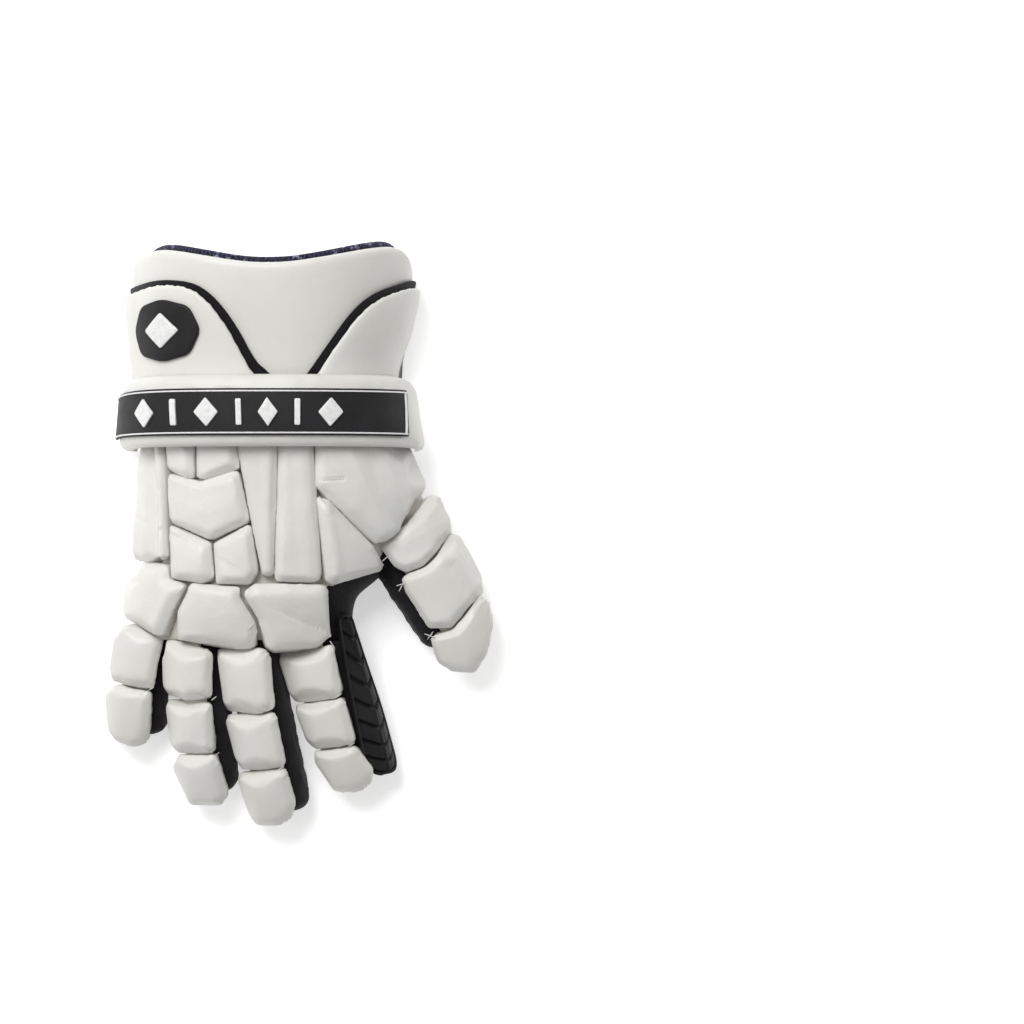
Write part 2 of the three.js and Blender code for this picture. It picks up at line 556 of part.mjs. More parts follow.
// A foam pad under leather: straight sides, a chamfer all round and a slightly crowned top.
const PAD_EDGE_STEP = 20;
const SHOULDER_AT = 0.72;
function pad(surface, outline, thickness, chamfer) {
  const edge = outlineMm(outline, PAD_EDGE_STEP);
  const middle = edge.reduce((sum, p) => sum.add(p), new THREE.Vector2()).divideScalar(edge.length);
  const towards = (points, share) => points.map((p) => p.clone().lerp(middle, share));
  const lift = (points, raised) => points.map((p) => {
    const [turn, along] = standOver(surface, surface.guess(p), p, SHOULDER_AT * thickness);
    return surface.place(turn, along, raised);
  });
  const foot = inset(edge, 0.6);
  const top = inset(edge, chamfer);
  const rings = [
    lift(foot, PAD_SEAT),
    lift(edge, SHOULDER_AT * thickness),
    lift(top, thickness),
    lift(towards(top, 0.45), thickness + PAD_CROWN),
  ];
  const [under] = lift([middle], PAD_SEAT);
  const [over] = lift([middle], thickness + PAD_CROWN);
  return skin(rings, under, over);
}

const archSurface = {
  place: onArch,
  side: new THREE.Vector2(1, 0),
  heading: new THREE.Vector2(0, 1),
  unit: GLOVE_LENGTH / 4,
  limit: [-GLOVE_LENGTH, GLOVE_LENGTH],
  guess: (p) => {
    const section = archSection(p.y);
    return [clamp((p.x - section.middle) / (section.half + BACK_PAD), -0.9, 0.9), p.y];
  },
};
function fingerSurface(core) {
  const root = core.line.getPoint(0);
  const heading = core.line.getPoint(1).sub(root).setZ(0);
  const reach = heading.length();
  heading.normalize();
  return {
    place: (turn, along, raised) => onFinger(core, turn, along, raised),
    side: core.side,
    heading: new THREE.Vector2(heading.x, heading.y),
    unit: 1,
    limit: [-0.15, 1.3],
    guess: (p) => {
      const out = new THREE.Vector3(p.x, p.y, root.z).sub(root);
      return [clamp(out.dot(core.side) / (core.halfWidth(0.5) * 1.6), -0.9, 0.9), out.dot(heading) / reach];
    },
  };
}

// Cores of the fingers: each root is as tall as the knit hand is there.
const cores = {};
for (const finger of FINGERS) {
  const top = archHeight(acrossMm(finger.root[0]), alongMm(KNUCKLE_END));
  cores[finger.name] = fingerCore(finger, top - SHELL_FLOOR, SHELL_FLOOR, FINGER_TIP_DEPTH, true);
}
const thumbCore = fingerCore(THUMB, THUMB_DEPTH, SHELL_FLOOR, THUMB_TIP_DEPTH, false);

// The hand, palm and sleeves
const thumbBore = sleeveSolid(thumbCore, -KNIT_WALL);
const thumbBlock = sleeveSolid(thumbCore, CLEARANCE);
addPiece("hand_shell", cutBy(handShell(), thumbBore), "knit");
addPiece("palm", palm(), "palm");
for (const finger of FINGERS) addPiece(`${finger.name}_sleeve`, sleeve(cores[finger.name]), "knit");
addPiece("thumb_sleeve", cutBy(sleeve(thumbCore), handSolid(CLEARANCE)), "knit");

// The pads, each cut clear of what it lies on
const handBlock = handSolid(CLEARANCE);
const fingerBlocks = FINGERS.map((finger) => sleeveSolid(cores[finger.name], CLEARANCE));
for (const [name, outline] of Object.entries({ ...BACK_PADS, ...KNUCKLE_PADS })) {
  const geometry = pad(archSurface, outline, BACK_PAD, PAD_CHAMFER);
  const meetsThumb = name === "base_pad" || name === "triangle_pad";
  addPiece(name, meetsThumb ? cutBy(geometry, handBlock, thumbBlock) : cutBy(geometry, handBlock), "leather");
}
for (const [name, outline] of Object.entries(FINGER_PADS)) {
  const core = cores[name.split("_")[0]];
  const geometry = pad(fingerSurface(core), outline, FINGER_PAD, PAD_CHAMFER);
  addPiece(name, cutBy(geometry, ...fingerBlocks, handBlock), "leather");
}
for (const [name, outline] of Object.entries(THUMB_PADS)) {
  const geometry = pad(fingerSurface(thumbCore), outline, THUMB_PAD, PAD_CHAMFER);
  addPiece(name, cutBy(geometry, thumbBlock, handBlock), "leather");
}

// The cuff, layer on layer out from the hand
const plateInner = LAYER_SEAT;
const plateOuter = plateInner + PLATE_THICKNESS;
const feltInner = plateOuter + LAYER_SEAT;
const feltOuter = feltInner + FELT_THICKNESS;
const faceInner = feltOuter + LAYER_SEAT;
const faceOuter = faceInner + FACE_THICKNESS;
const rollInner = faceOuter + LAYER_SEAT;
const LAYER_TURNS = 24;
const cuffTurns = (reach) => steps(-reach, reach, LAYER_TURNS);
const flat = (value) => () => value;
const EDGE_ROWS = [0, 0.2, 0.4, 0.6, 0.8, 0.96, 1];
const FACE_ROWS = [0, 0.1, 0.2, 0.3, 0.45, 0.7, 0.96, 1];
const LAYER_ROWS = [0, 0.2, 0.4, 0.6, 0.8, 1];
const thinAtEdge = (inner, thickness, grow) => {
  return (turn, share) => inner + grow + thickness * (share > 0.97 ? 0.5 : 1);
};

const rimEdge = upperEdge(RIM, plateOuter);
const plateShape = (grow) => layer({
  turns: cuffTurns(PLATE_REACH),
  low: flat(alongMm(PLATE_LOW)),
  high: rimEdge,
  rows: EDGE_ROWS,
  inner: flat(plateInner),
  outer: thinAtEdge(plateInner, PLATE_THICKNESS, grow),
});
const feltShape = (grow) => layer({
  turns: cuffTurns(OVERLAY_REACH),
  low: flat(alongMm(OVERLAY_LOW)),
  high: upperEdge(WING, feltOuter),
  rows: LAYER_ROWS,
  inner: flat(feltInner),
  outer: flat(feltOuter + grow),
});
const faceShape = (grow) => layer({
  turns: cuffTurns(OVERLAY_REACH - 0.04),
  low: flat(alongMm(OVERLAY_LOW)),
  high: upperEdge(FACE, faceOuter),
  rows: FACE_ROWS,
  inner: flat(faceInner),
  outer: thinAtEdge(faceInner, FACE_THICKNESS, grow),
});
addPiece("cuff_plate", cutBy(plateShape(0), handBlock), "leather");
addPiece("cuff_lining", layer({
  turns: cuffTurns(PLATE_REACH - 0.05),
  low: flat(alongMm(LINING_LOW)),
  high: (turn) => rimEdge(turn) + LINING_PROUD,
  rows: [0, 0.15, 0.35, 1],
  inner: flat(-LAYER_SEAT - LINING_THICKNESS),
  outer: flat(-LAYER_SEAT),
}), "lining");
addPiece("wing_felt", cutBy(feltShape(0), plateShape(CLEARANCE)), "felt");
addPiece("wing_face", cutBy(faceShape(0), feltShape(CLEARANCE)), "leather");

// The padded roll round the cuff, rounded across and standing further out at its lower edge.
// Both its edges fall away towards the flanks.
const ROLL_ROWS = [0, 0.05, 0.14, 0.4, 0.66, 0.8, 0.95, 1];
const rollLow = alongMm(ROLL_LOW);
const rollHigh = alongMm(ROLL_HIGH);
const fallingEdge = (edge, fall) => (turn) => edge - fall * Math.min(Math.abs(turn), 1) ** 4;
const rollLowEdge = fallingEdge(rollLow, ROLL_LOW_FALL);
const rollHighEdge = fallingEdge(rollHigh, ROLL_HIGH_FALL);
function rollHeight(share) {
  const fullness = Math.max(0.3, (1 - Math.abs(2 * share - 1) ** 4) ** 0.4);
  return rollInner + ROLL_THICKNESS * fullness + ROLL_FLARE * (1 - share);
}
const rollShape = layer({
  turns: cuffTurns(ROLL_REACH),
  low: rollLowEdge,
  high: rollHighEdge,
  rows: ROLL_ROWS,
  inner: flat(rollInner),
  outer: (turn, share) => rollHeight(share),
});
addPiece("wrist_roll", cutBy(rollShape, faceShape(CLEARANCE)), "leather");

// The rubber strap on the roll, with a raised line along each edge
const STRAP_TURNS = 20;
function bandOnRoll(from, to, fromTurn, toTurn, seat, thickness, rowsBetween) {
  return layer({
    turns: steps(fromTurn, toTurn, STRAP_TURNS),
    low: (turn) => mix(rollLowEdge(turn), rollHighEdge(turn), from),
    high: (turn) => mix(rollLowEdge(turn), rollHighEdge(turn), to),
    rows: rowsBetween,
    inner: (turn, row) => rollHeight(mix(from, to, row)) + seat,
    outer: (turn, row) => rollHeight(mix(from, to, row)) + seat + thickness,
  });
}
const STRAP_EDGES = [0.15, 0.8];
const STRAP_SEAT = 0.6;
const lineSeat = STRAP_SEAT + STRAP_THICKNESS + CLEARANCE;
const STRAP_ROWS = [0, 0.33, 0.67, 1];
const strapBand = bandOnRoll(...STRAP_EDGES, STRAP_FROM, STRAP_TO, STRAP_SEAT, STRAP_THICKNESS, STRAP_ROWS);
addPiece("wrist_strap", strapBand, "rubber");
const LINE_EDGES = { strap_line_lower: [0.175, 0.197], strap_line_upper: [0.752, 0.774] };
for (const [name, edges] of Object.entries(LINE_EDGES)) {
  const band = bandOnRoll(...edges, STRAP_FROM + 0.02, STRAP_TO - 0.02, lineSeat, LINE_HEIGHT, [0, 1]);
  addPiece(name, band, "print");
}

// Turns for lengths measured round the arch from a turn, at a place along it and a height over it
function turnAfter(fromTurn, y, raised, length) {
  const way = Math.sign(length) * 0.005;
  let turn = fromTurn;
  let left = Math.abs(length);
  while (left > 0 && Math.abs(turn) < 1) {
    left -= onArch(turn, y, raised).distanceTo(onArch(turn + way, y, raised));
    turn += way;
  }
  return turn;
}

// A small flat figure laid on the cuff: its outline in mm from a turn and a place along the glove,
// with rings inside it at shares of its size so that a wide one follows the curve.
function figure(outline, fromTurn, y, heightAt, thickness, shares) {
  const points = outline.map(([x, up]) => new THREE.Vector2(x, up));
  const middle = points.reduce((sum, p) => sum.add(p), new THREE.Vector2()).divideScalar(points.length);
  const divided = points.flatMap((a, i) => [a, a.clone().lerp(points[(i + 1) % points.length], 0.5)]);
  const within = shares.map((share) => divided.map((p) => middle.clone().lerp(p, share)));
  const lay = (list, extra) => list.map((p) => {
    const place = y + p.y;
    const base = heightAt(place);
    return onArch(turnAfter(fromTurn, place, base, p.x), place, base + extra);
  });
  const below = [...within, divided].map((list) => lay(list, 0));
  const above = [divided, ...[...within].reverse()].map((list) => lay(list, thickness));
  return skin([...below, ...above], lay([middle], 0)[0], lay([middle], thickness)[0]);
}
const betweenLines = (LINE_EDGES.strap_line_lower[1] + LINE_EDGES.strap_line_upper[0]) / 2;
const strapMiddle = mix(rollLow, rollHigh, betweenLines);
const strapTop = (y) => rollHeight((y - rollLow) / (rollHigh - rollLow)) + STRAP_SEAT + STRAP_THICKNESS;
const strapCentre = (STRAP_FROM + STRAP_TO) / 2;
for (const { name, step, outline } of STRAP_MOTIFS) {
  const turn = turnAfter(strapCentre, strapMiddle, strapTop(strapMiddle), step * MOTIF_SPACING);
  const motifSeat = (y) => strapTop(y) + STRAP_SEAT;
  addPiece(name, figure(outline, turn, strapMiddle, motifSeat, MOTIF_HEIGHT, []), "print");
}

// The generic plaque on the little-finger side of the cuff
const plaqueSeat = faceOuter + LAYER_SEAT;
const plaqueY = alongMm(PLAQUE_AT.place);
const plaque = figure(PLAQUE, PLAQUE_AT.turn, plaqueY, flat(plaqueSeat), PATCH_THICKNESS, [0.5]);
addPiece("cuff_plaque", plaque, "rubber");
const plaqueTop = plaqueSeat + PATCH_THICKNESS + CLEARANCE;
const lozenge = figure(PLAQUE_LOZENGE, PLAQUE_AT.turn, plaqueY, flat(plaqueTop), MOTIF_HEIGHT, [0.5]);
addPiece("plaque_lozenge", lozenge, "print");

// The guard: ribs and grooves across it between a raised rim, along the index finger's outer side
function fingerGuard(core) {
  const halfSpan = (GUARD.end - GUARD.start) / 2;
  const centre = (GUARD.end + GUARD.start) / 2;
  const across = [-1, -0.86, -0.62, 0, 0.62, 0.86, 1];
  const rim = GUARD_THICKNESS + GUARD_RIM;
  const stations = [{ at: 0, width: 0.55, groove: false }, { at: 0.03, width: 0.85, groove: false }];
  for (let rib = 0; rib < RIBS.count; rib += 1) {
    const start = mix(RIBS.from, RIBS.to, rib / RIBS.count);
    const end = mix(RIBS.from, RIBS.to, (rib + RIBS.share) / RIBS.count);
    stations.push({ at: start, width: 1, groove: false }, { at: end, width: 1, groove: false });
    stations.push({ at: end + 0.012, width: 1, groove: true });
  }
  stations.push({ at: 0.93, width: 0.92, groove: false }, { at: 0.97, width: 0.75, groove: false });
  stations.push({ at: 1, width: 0.45, groove: false });
  const rings = stations.map(({ at, width, groove }) => {
    const along = mix(GUARD.from, GUARD.to, at);
    const point = (share, raised) => onFinger(core, centre + halfSpan * width * share, along, raised);
    const crown = groove ? GUARD_THICKNESS - GUARD_RIM : GUARD_THICKNESS;
    const heights = [GUARD_THICKNESS * 0.6, rim, crown, crown + 0.5, crown, rim, GUARD_THICKNESS * 0.6];
    const outside = across.map((share, i) => point(share, heights[i]));
    const inside = [...across].reverse().map((share) => point(share, LAYER_SEAT));
    return [...outside, ...inside];
  });
  return skin(rings, centreOfRing(rings[0]), centreOfRing(rings[rings.length - 1]));
}
addPiece("finger_guard", cutBy(fingerGuard(cores.index), sleeveSolid(cores.index, CLEARANCE)), "rubber");

// Centred on the middle of its box, standing on the floor
const box = new THREE.Box3().setFromObject(glove);
glove.position.set(-(box.min.x + box.max.x) / 2, -(box.min.y + box.max.y) / 2, -box.min.z);

export default glove;
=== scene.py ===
"""A padded sport glove for the right hand, lying palm down: the looks built round its solids."""
import math

import bmesh
import bpy
import numpy as np
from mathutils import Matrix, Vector


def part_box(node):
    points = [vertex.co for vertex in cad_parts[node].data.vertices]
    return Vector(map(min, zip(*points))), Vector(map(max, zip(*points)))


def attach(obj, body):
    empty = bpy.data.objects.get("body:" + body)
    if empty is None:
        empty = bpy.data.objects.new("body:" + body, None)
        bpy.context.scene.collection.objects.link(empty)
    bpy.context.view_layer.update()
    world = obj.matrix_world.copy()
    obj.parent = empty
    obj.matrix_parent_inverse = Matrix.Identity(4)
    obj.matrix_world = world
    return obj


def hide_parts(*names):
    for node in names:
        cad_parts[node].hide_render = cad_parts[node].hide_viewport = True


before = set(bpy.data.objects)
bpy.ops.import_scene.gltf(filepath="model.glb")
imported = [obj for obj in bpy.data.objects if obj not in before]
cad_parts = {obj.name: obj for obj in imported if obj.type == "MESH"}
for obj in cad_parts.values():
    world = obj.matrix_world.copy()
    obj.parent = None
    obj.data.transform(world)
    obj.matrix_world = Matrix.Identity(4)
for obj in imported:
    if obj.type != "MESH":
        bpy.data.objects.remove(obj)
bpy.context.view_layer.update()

MM = 0.001
QUARTER = math.pi / 2

# Sizes of the glove in mm, as in its solids
LENGTH = 330.0
WIDTH = 220.0
HAND_HEIGHT = 60.0
CUFF_FLARE = 24.0
FLANK_HEIGHT = 14.0
SHELL_FLOOR = 2.3
KNIT_WALL = 2.0
FULLNESS = 2.5

# The hand and cuff as an arch, in percent of length and width and shares of the heights
ARCH = {
    "at": [-18, -11, -7, -1.7, 7, 11, 15, 21, 27, 35, 43.5, 52],
    "left": [-42.4, -40.4, -39.0, -38.3, -37.3, -36.6, -35.6, -34.8, -36.3, -37.4, -38.7, -39.6],
    "right": [13.0, 14.2, 20.5, 24.0, 27.4, 26.0, 22.8, 19.8, 18.5, 22.1, 25.2, 26.6],
    "crown": [0.78, 0.9, 0.94, 0.97, 1.0, 1.03, 1.05, 1.05, 1.02, 1.0, 1.0, 1.0],
    "flare": [0, 0, 0, 0, 0, 0, 0, 0.06, 0.22, 0.5, 0.78, 1.0],
}
KNUCKLE_END = -18
FINGERS = {
    "little": dict(root=(-39.1, -18.1), tip=(-40.2, -33.4), width=24, tip_width=24.5),
    "ring": dict(root=(-25.7, -18.1), tip=(-21.7, -43.2), width=26, tip_width=25.2),
    "middle": dict(root=(-12.5, -18.1), tip=(-3.7, -46.6), width=29.4, tip_width=28),
    "index": dict(root=(5.0, -18.1), tip=(14.6, -39.8), width=36, tip_width=31),
}
THUMB = dict(root=(17.5, 7.8), tip=(39.7, -17.5), width=45, tip_width=34.5)
FINGER_TIP_DEPTH = 22.0
THUMB_DEPTH = 34.0
THUMB_TIP_DEPTH = 25.0

# Upper edges of the cuff's layers: x in percent of the width, y in percent of the length
RIM = [(-43.4, 43.6), (-42.8, 45.9), (-40.6, 47.7), (-35.9, 48.4), (-25.4, 47.4), (-14, 46.2), (-5.1, 45.9),
       (7.9, 47.1), (21.8, 48.8), (26.6, 48.9), (28.6, 47.8), (29.4, 45.6)]
WING = [(-43.5, 42.2), (-35.6, 43.2), (-25.4, 42.5), (-22.1, 41.1), (-18.2, 38.4), (-14.6, 34.8), (-10.3, 29.5),
        (-8.2, 27.4), (-6.4, 25.6), (1.8, 25.6), (3.6, 27.6), (7.9, 32.4), (12.6, 36.9), (15.4, 38.9),
        (19.7, 41.0), (25.6, 42.6), (29.4, 43.6), (31.8, 43.3)]
FACE = [(-44, 41.1), (-35.6, 42.3), (-26.2, 41.5), (-23.4, 40.0), (-20.0, 37.4), (-16.4, 33.8), (-12.1, 28.5),
        (-9.6, 25.8), (-7.4, 24.1), (2.8, 24.1), (5.2, 26.2), (9.7, 31.4), (14.1, 35.7), (16.9, 37.7),
        (21.0, 39.8), (26.2, 41.3), (30.2, 42.2), (32.2, 41.9)]

PLATE = dict(inner=1.0, outer=7.5, low=17.2, reach=1.85)
FELT = dict(inner=8.5, outer=10.1, low=20.6, reach=1.7)
LEATHER_FACE = dict(inner=11.1, outer=14.3, low=20.6, reach=1.66)
LINING = dict(inner=-2.6, outer=-1.0, low=24, reach=1.8, proud=3.2)
ROLL = dict(inner=15.3, thickness=8.0, flare=3.0, low=15, high=27.2, reach=1.8, low_fall=2.0, high_fall=6.5)
STRAP = dict(low=0.15, high=0.8, seat=0.6, thickness=1.8, start=-0.93, end=0.69)


def across_mm(percent):
    return np.asarray(percent, float) / 100 * WIDTH


def along_mm(percent):
    return np.asarray(percent, float) / 100 * LENGTH


SHELL_LOW, SHELL_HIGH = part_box("hand_shell")
SHIFT = np.array([
    SHELL_LOW[0] - across_mm(ARCH["left"][0]) * MM,
    SHELL_LOW[1] - along_mm(KNUCKLE_END) * MM,
    0.0,
])


def place(points):
    """Points in glove millimetres to metres in the frame."""
    return np.asarray(points) * MM + SHIFT


def read_smooth(places, values, at):
    """A cubic Hermite curve through the table, its slopes taken across each row's two neighbours."""
    places, values, at = np.asarray(places, float), np.asarray(values, float), np.asarray(at, float)
    last = len(places) - 1
    before = np.maximum(np.arange(last + 1) - 1, 0)
    after = np.minimum(np.arange(last + 1) + 1, last)
    slopes = (values[after] - values[before]) / (places[after] - places[before])
    i = np.clip(np.searchsorted(places, at, side="left") - 1, 0, last - 1)
    span = places[i + 1] - places[i]
    t = np.clip((at - places[i]) / span, 0, 1)
    t2, t3 = t * t, t * t * t
    rise = (2 * t3 - 3 * t2 + 1) * values[i] + (3 * t2 - 2 * t3) * values[i + 1]
    return rise + span * ((t3 - 2 * t2 + t) * slopes[i] + (t3 - t2) * slopes[i + 1])


def signed_power(value, power):
    return np.sign(value) * np.abs(value) ** power


def unit(vectors):
    return vectors / np.maximum(np.linalg.norm(vectors, axis=-1, keepdims=True), 1e-6)


def circle(count):
    return np.linspace(0, 2 * math.pi, count, endpoint=False)


def smoothstep(low, high, value):
    t = np.clip((value - low) / (high - low), 0, 1)
    return t * t * (3 - 2 * t)


def quarter_round(gap, least=0.0):
    """Height of a quarter circle as the gap from an edge goes from 0 to 1."""
    return np.sqrt(np.clip(1 - (1 - np.clip(gap, 0, 1)) ** 2, least, 1))


def superellipse(turn, half_width, half_height):
    """Upper half of a superellipse: sine and cosine of the turn, each to the power 2 over the fullness,
    with the outward normal from each coordinate to the power fullness less 1, over its half size."""
    across = signed_power(np.sin(turn * QUARTER), 2 / FULLNESS)
    up = signed_power(np.cos(turn * QUARTER), 2 / FULLNESS)
    nx = signed_power(across, FULLNESS - 1) / half_width
    nz = signed_power(up, FULLNESS - 1) / half_height
    length = np.hypot(nx, nz)
    return across * half_width, up * half_height, nx / length, nz / length


def arch_section(y):
    """Middle, half width and rise of the arch at a place along the glove, in mm."""
    at = np.asarray(y, float) / LENGTH * 100
    left, right, crown, flare = (
        read_smooth(ARCH["at"], ARCH[column], at) for column in ("left", "right", "crown", "flare"))
    rise = HAND_HEIGHT * crown + CUFF_FLARE * flare - FLANK_HEIGHT
    return across_mm(left + right) / 2, across_mm(right - left) / 2, rise


def on_arch(turn, y, raised):
    """A superellipse arch from turn -1 to 1 on upright flanks that reach the floor at turn -2 and 2."""
    turn, y, raised = np.broadcast_arrays(*(np.asarray(v, float) for v in (turn, y, raised)))
    middle, half, rise = arch_section(y)
    px, pz, nx, nz = superellipse(np.clip(turn, -1, 1), half, rise)
    arch_x, arch_z = middle + px + raised * nx, FLANK_HEIGHT + pz + raised * nz
    flank_x = middle + np.sign(turn) * (half + raised)
    flank_z = FLANK_HEIGHT * (2 - np.abs(turn))
    side = np.abs(turn) > 1
    return np.stack([np.where(side, flank_x, arch_x), y, np.where(side, flank_z, arch_z)], axis=-1)


def arch_height(x, y):
    middle, half, rise = arch_section(y)
    t = np.clip(np.abs(x - middle) / half, 0, 1)
    return FLANK_HEIGHT + rise * (1 - t ** FULLNESS) ** (1 / FULLNESS)


def turn_at(x, y, raised):
    """The turn at which the raised arch stands over a place across: the superellipse read backwards."""
    middle, half, _ = arch_section(y)
    share = np.clip((np.asarray(x, float) - middle) / (half + raised), -1, 1)
    return np.sign(share) * np.arcsin(np.abs(share) ** (FULLNESS / 2)) / QUARTER


class FingerCore:
    """A finger's core: a cubic Bezier centre line that bends down to the tip, with superellipse sections."""

    def __init__(self, finger, root_depth, tip_depth, square):
        root = np.array([across_mm(finger["root"][0]), along_mm(finger["root"][1])])
        tip = np.array([across_mm(finger["tip"][0]), along_mm(finger["tip"][1])])
        self.reach = np.hypot(*(tip - root))
        heading = (tip - root) / self.reach
        root_z, tip_z = SHELL_FLOOR + root_depth / 2, tip_depth / 2
        heights = [root_z, root_z, tip_z + (root_z - tip_z) * 0.62, tip_z]
        shares = [0, 0.45, 0.85, 1]
        self.controls = np.array([[*(root + heading * self.reach * s), z] for s, z in zip(shares, heights)])
        self.side = np.array([1.0, 0, 0]) if square else np.array([-heading[1], heading[0], 0])
        self.widths = (finger["width"] / 2, finger["tip_width"] / 2)
        self.depths = (root_depth / 2, tip_depth / 2)

    def line(self, s):
        """Point and heading of the centre line at a share of its length."""
        s = np.asarray(s, float)[..., None]
        a, b, c, d = self.controls
        point = (1 - s) ** 3 * a + 3 * (1 - s) ** 2 * s * b + 3 * (1 - s) * s ** 2 * c + s ** 3 * d
        way = (1 - s) ** 2 * (b - a) + 2 * (1 - s) * s * (c - b) + s ** 2 * (d - c)
        return point, unit(way)

    def surface(self, turn, along, raised):
        """Centre line point plus the section's point and raised height along its side and up axes."""
        turn, along, raised = np.broadcast_arrays(*(np.asarray(v, float) for v in (turn, along, raised)))
        s = np.clip(along, 0, 1)
        centre, way = self.line(s)
        up = unit(np.cross(self.side, way))
        up *= np.where(up[..., 2:] < 0, -1, 1)
        half_width, half_depth = (a + (b - a) * s for a, b in (self.widths, self.depths))
        px, pz, nx, nz = superellipse(turn, half_width, half_depth)
        sideways, upwards = (px + raised * nx)[..., None], (pz + raised * nz)[..., None]
        return centre + way * (along - s)[..., None] * self.reach + self.side * sideways + up * upwards


CORES = {}
for finger_name, finger in FINGERS.items():
    finger_top = arch_height(across_mm(finger["root"][0]), along_mm(KNUCKLE_END))
    CORES[finger_name] = FingerCore(finger, finger_top - SHELL_FLOOR, FINGER_TIP_DEPTH, True)
CORES["thumb"] = FingerCore(THUMB, THUMB_DEPTH, THUMB_TIP_DEPTH, False)


# Meshes from arrays

def new_mesh(name, vertices, quads, triangles=np.empty((0, 3), int)):
    """A mesh from whole arrays, turned right side out if its volume comes out negative."""
    halves = np.concatenate([quads[:, :3], quads[:, [0, 2, 3]], triangles])
    a, b, c = (vertices[halves[:, k]] for k in range(3))
    if np.sum(np.cross(a, b) * c) < 0:
        quads, triangles = quads[:, ::-1], triangles[:, ::-1]
    mesh = bpy.data.meshes.new(name)
    mesh.from_pydata(vertices, [], quads.tolist() + triangles.tolist(), shade_flat=False)
    mesh.validate()
    return mesh


def grid_quads(rows, count, close_rows=False):
    """Quads of a grid whose columns always close and whose rows may close too."""
    r = np.arange(rows if close_rows else rows - 1)[:, None]
    i = np.arange(count)
    low, high = r * count, (r + 1) % rows * count
    j = (i + 1) % count
    return np.stack([low + i, low + j, high + j, high + i], axis=-1).reshape(-1, 4)


def loft(name, rings, start=None, end=None):
    """A skin over rings of points, closed at both ends by a point, or round into a torus without them."""
    rows, count = rings.shape[:2]
    vertices = rings.reshape(-1, 3)
    if start is None:
        return new_mesh(name, place(vertices), grid_quads(rows, count, True))
    last = len(vertices) - count
    i = np.arange(count)
    j = (i + 1) % count
    below = np.stack([0 * i + len(vertices), j, i], axis=-1)
    above = np.stack([0 * i + len(vertices) + 1, last + i, last + j], axis=-1)
    vertices = np.concatenate([vertices, [start, end]])
    return new_mesh(name, place(vertices), grid_quads(rows, count), np.concatenate([below, above]))


def capped_loft(name, rings):
    """A skin over rings, closed by the middle of the first and of the last."""
    return loft(name, rings, rings[0].mean(axis=0), rings[-1].mean(axis=0))


def shell(name, outer, inner):
    """A closed body between two grids of the same size: both faces, and a strip round their border."""
    rows, count = outer.shape[:2]
    top = np.arange(rows * count).reshape(rows, count)
    face = np.stack([top[:-1, :-1], top[:-1, 1:], top[1:, 1:], top[1:, :-1]], axis=-1).reshape(-1, 4)
    border = np.concatenate([top[0], top[1:, -1], top[-1, -2::-1], top[-2:0:-1, 0]])
    after = np.roll(border, -1)
    under = rows * count
    sides = np.stack([after, border, border + under, after + under], axis=-1)
    vertices = np.concatenate([outer.reshape(-1, 3), inner.reshape(-1, 3)])
    return new_mesh(name, place(vertices), np.concatenate([face, face[:, ::-1] + under, sides]))


def link_new(name, data):
    thing = bpy.data.objects.new(name, data)
    bpy.context.scene.collection.objects.link(thing)
    return thing


def finish_piece(piece, material, slot, *replaced):
    """Gives a piece its material and its ride on the glove, and hides the CAD nodes that it stands for."""
    piece.data.materials.clear()
    piece.data.materials.append(material)
    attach(piece, "root")
    if replaced:
        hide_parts(*replaced)
    return piece


def add_piece(name, mesh, material, slot, *replaced):
    return finish_piece(link_new(name, mesh), material, slot, *replaced)


def read_array(items, key, width, kind=np.float32):
    """One attribute of all of a mesh's vertices, edges or faces, as rows of a width."""
    values = np.empty(len(items) * width, kind)
    items.foreach_get(key, values)
    return values.reshape(-1, width)


def read_points(mesh):
    return read_array(mesh.vertices, "co", 3).astype(float)


def read_normals(mesh):
    return read_array(mesh.vertices, "normal", 3).astype(float)


def write_points(mesh, points):
    mesh.vertices.foreach_set("co", points.astype(np.float32).ravel())
    mesh.update()


def waves(points, size, seed, octaves=1):
    """Smooth seeded unevenness between about -1 and 1: the mean of sines along random directions,
    each of wavelength near size, with finer ones at half the strength for each octave."""
    rng = np.random.default_rng(seed)
    total = np.zeros(points.shape[:-1])
    for octave in range(octaves):
        ways = rng.normal(size=(9, 3))
        ways /= np.linalg.norm(ways, axis=1, keepdims=True)
        lengths = size / 2 ** octave * rng.uniform(0.7, 1.4, 9)
        phases = rng.uniform(0, 2 * math.pi, 9)
        total += np.sin(points @ (ways / lengths[:, None]).T * 2 * math.pi + phases).sum(-1) / 4 / 2 ** octave
    return total


def lifted(points, rise, ways=(0, 0, 1)):
    """Moves each point of a grid by its rise along the ways, upwards unless they say otherwise."""
    return points + rise[..., None] * np.array(ways)


def paint_seam_shade(mesh, values):
    """Stores how deep in a seam each vertex lies, from 0 to 1: how much painted seam shade darkens the
    leather's colour there.
    """
    attribute = mesh.attributes.new("seam", "FLOAT", "POINT")
    values = np.broadcast_to(np.clip(values, 0, 1), len(mesh.vertices))
    attribute.data.foreach_set("value", values.astype(np.float32))


# Materials

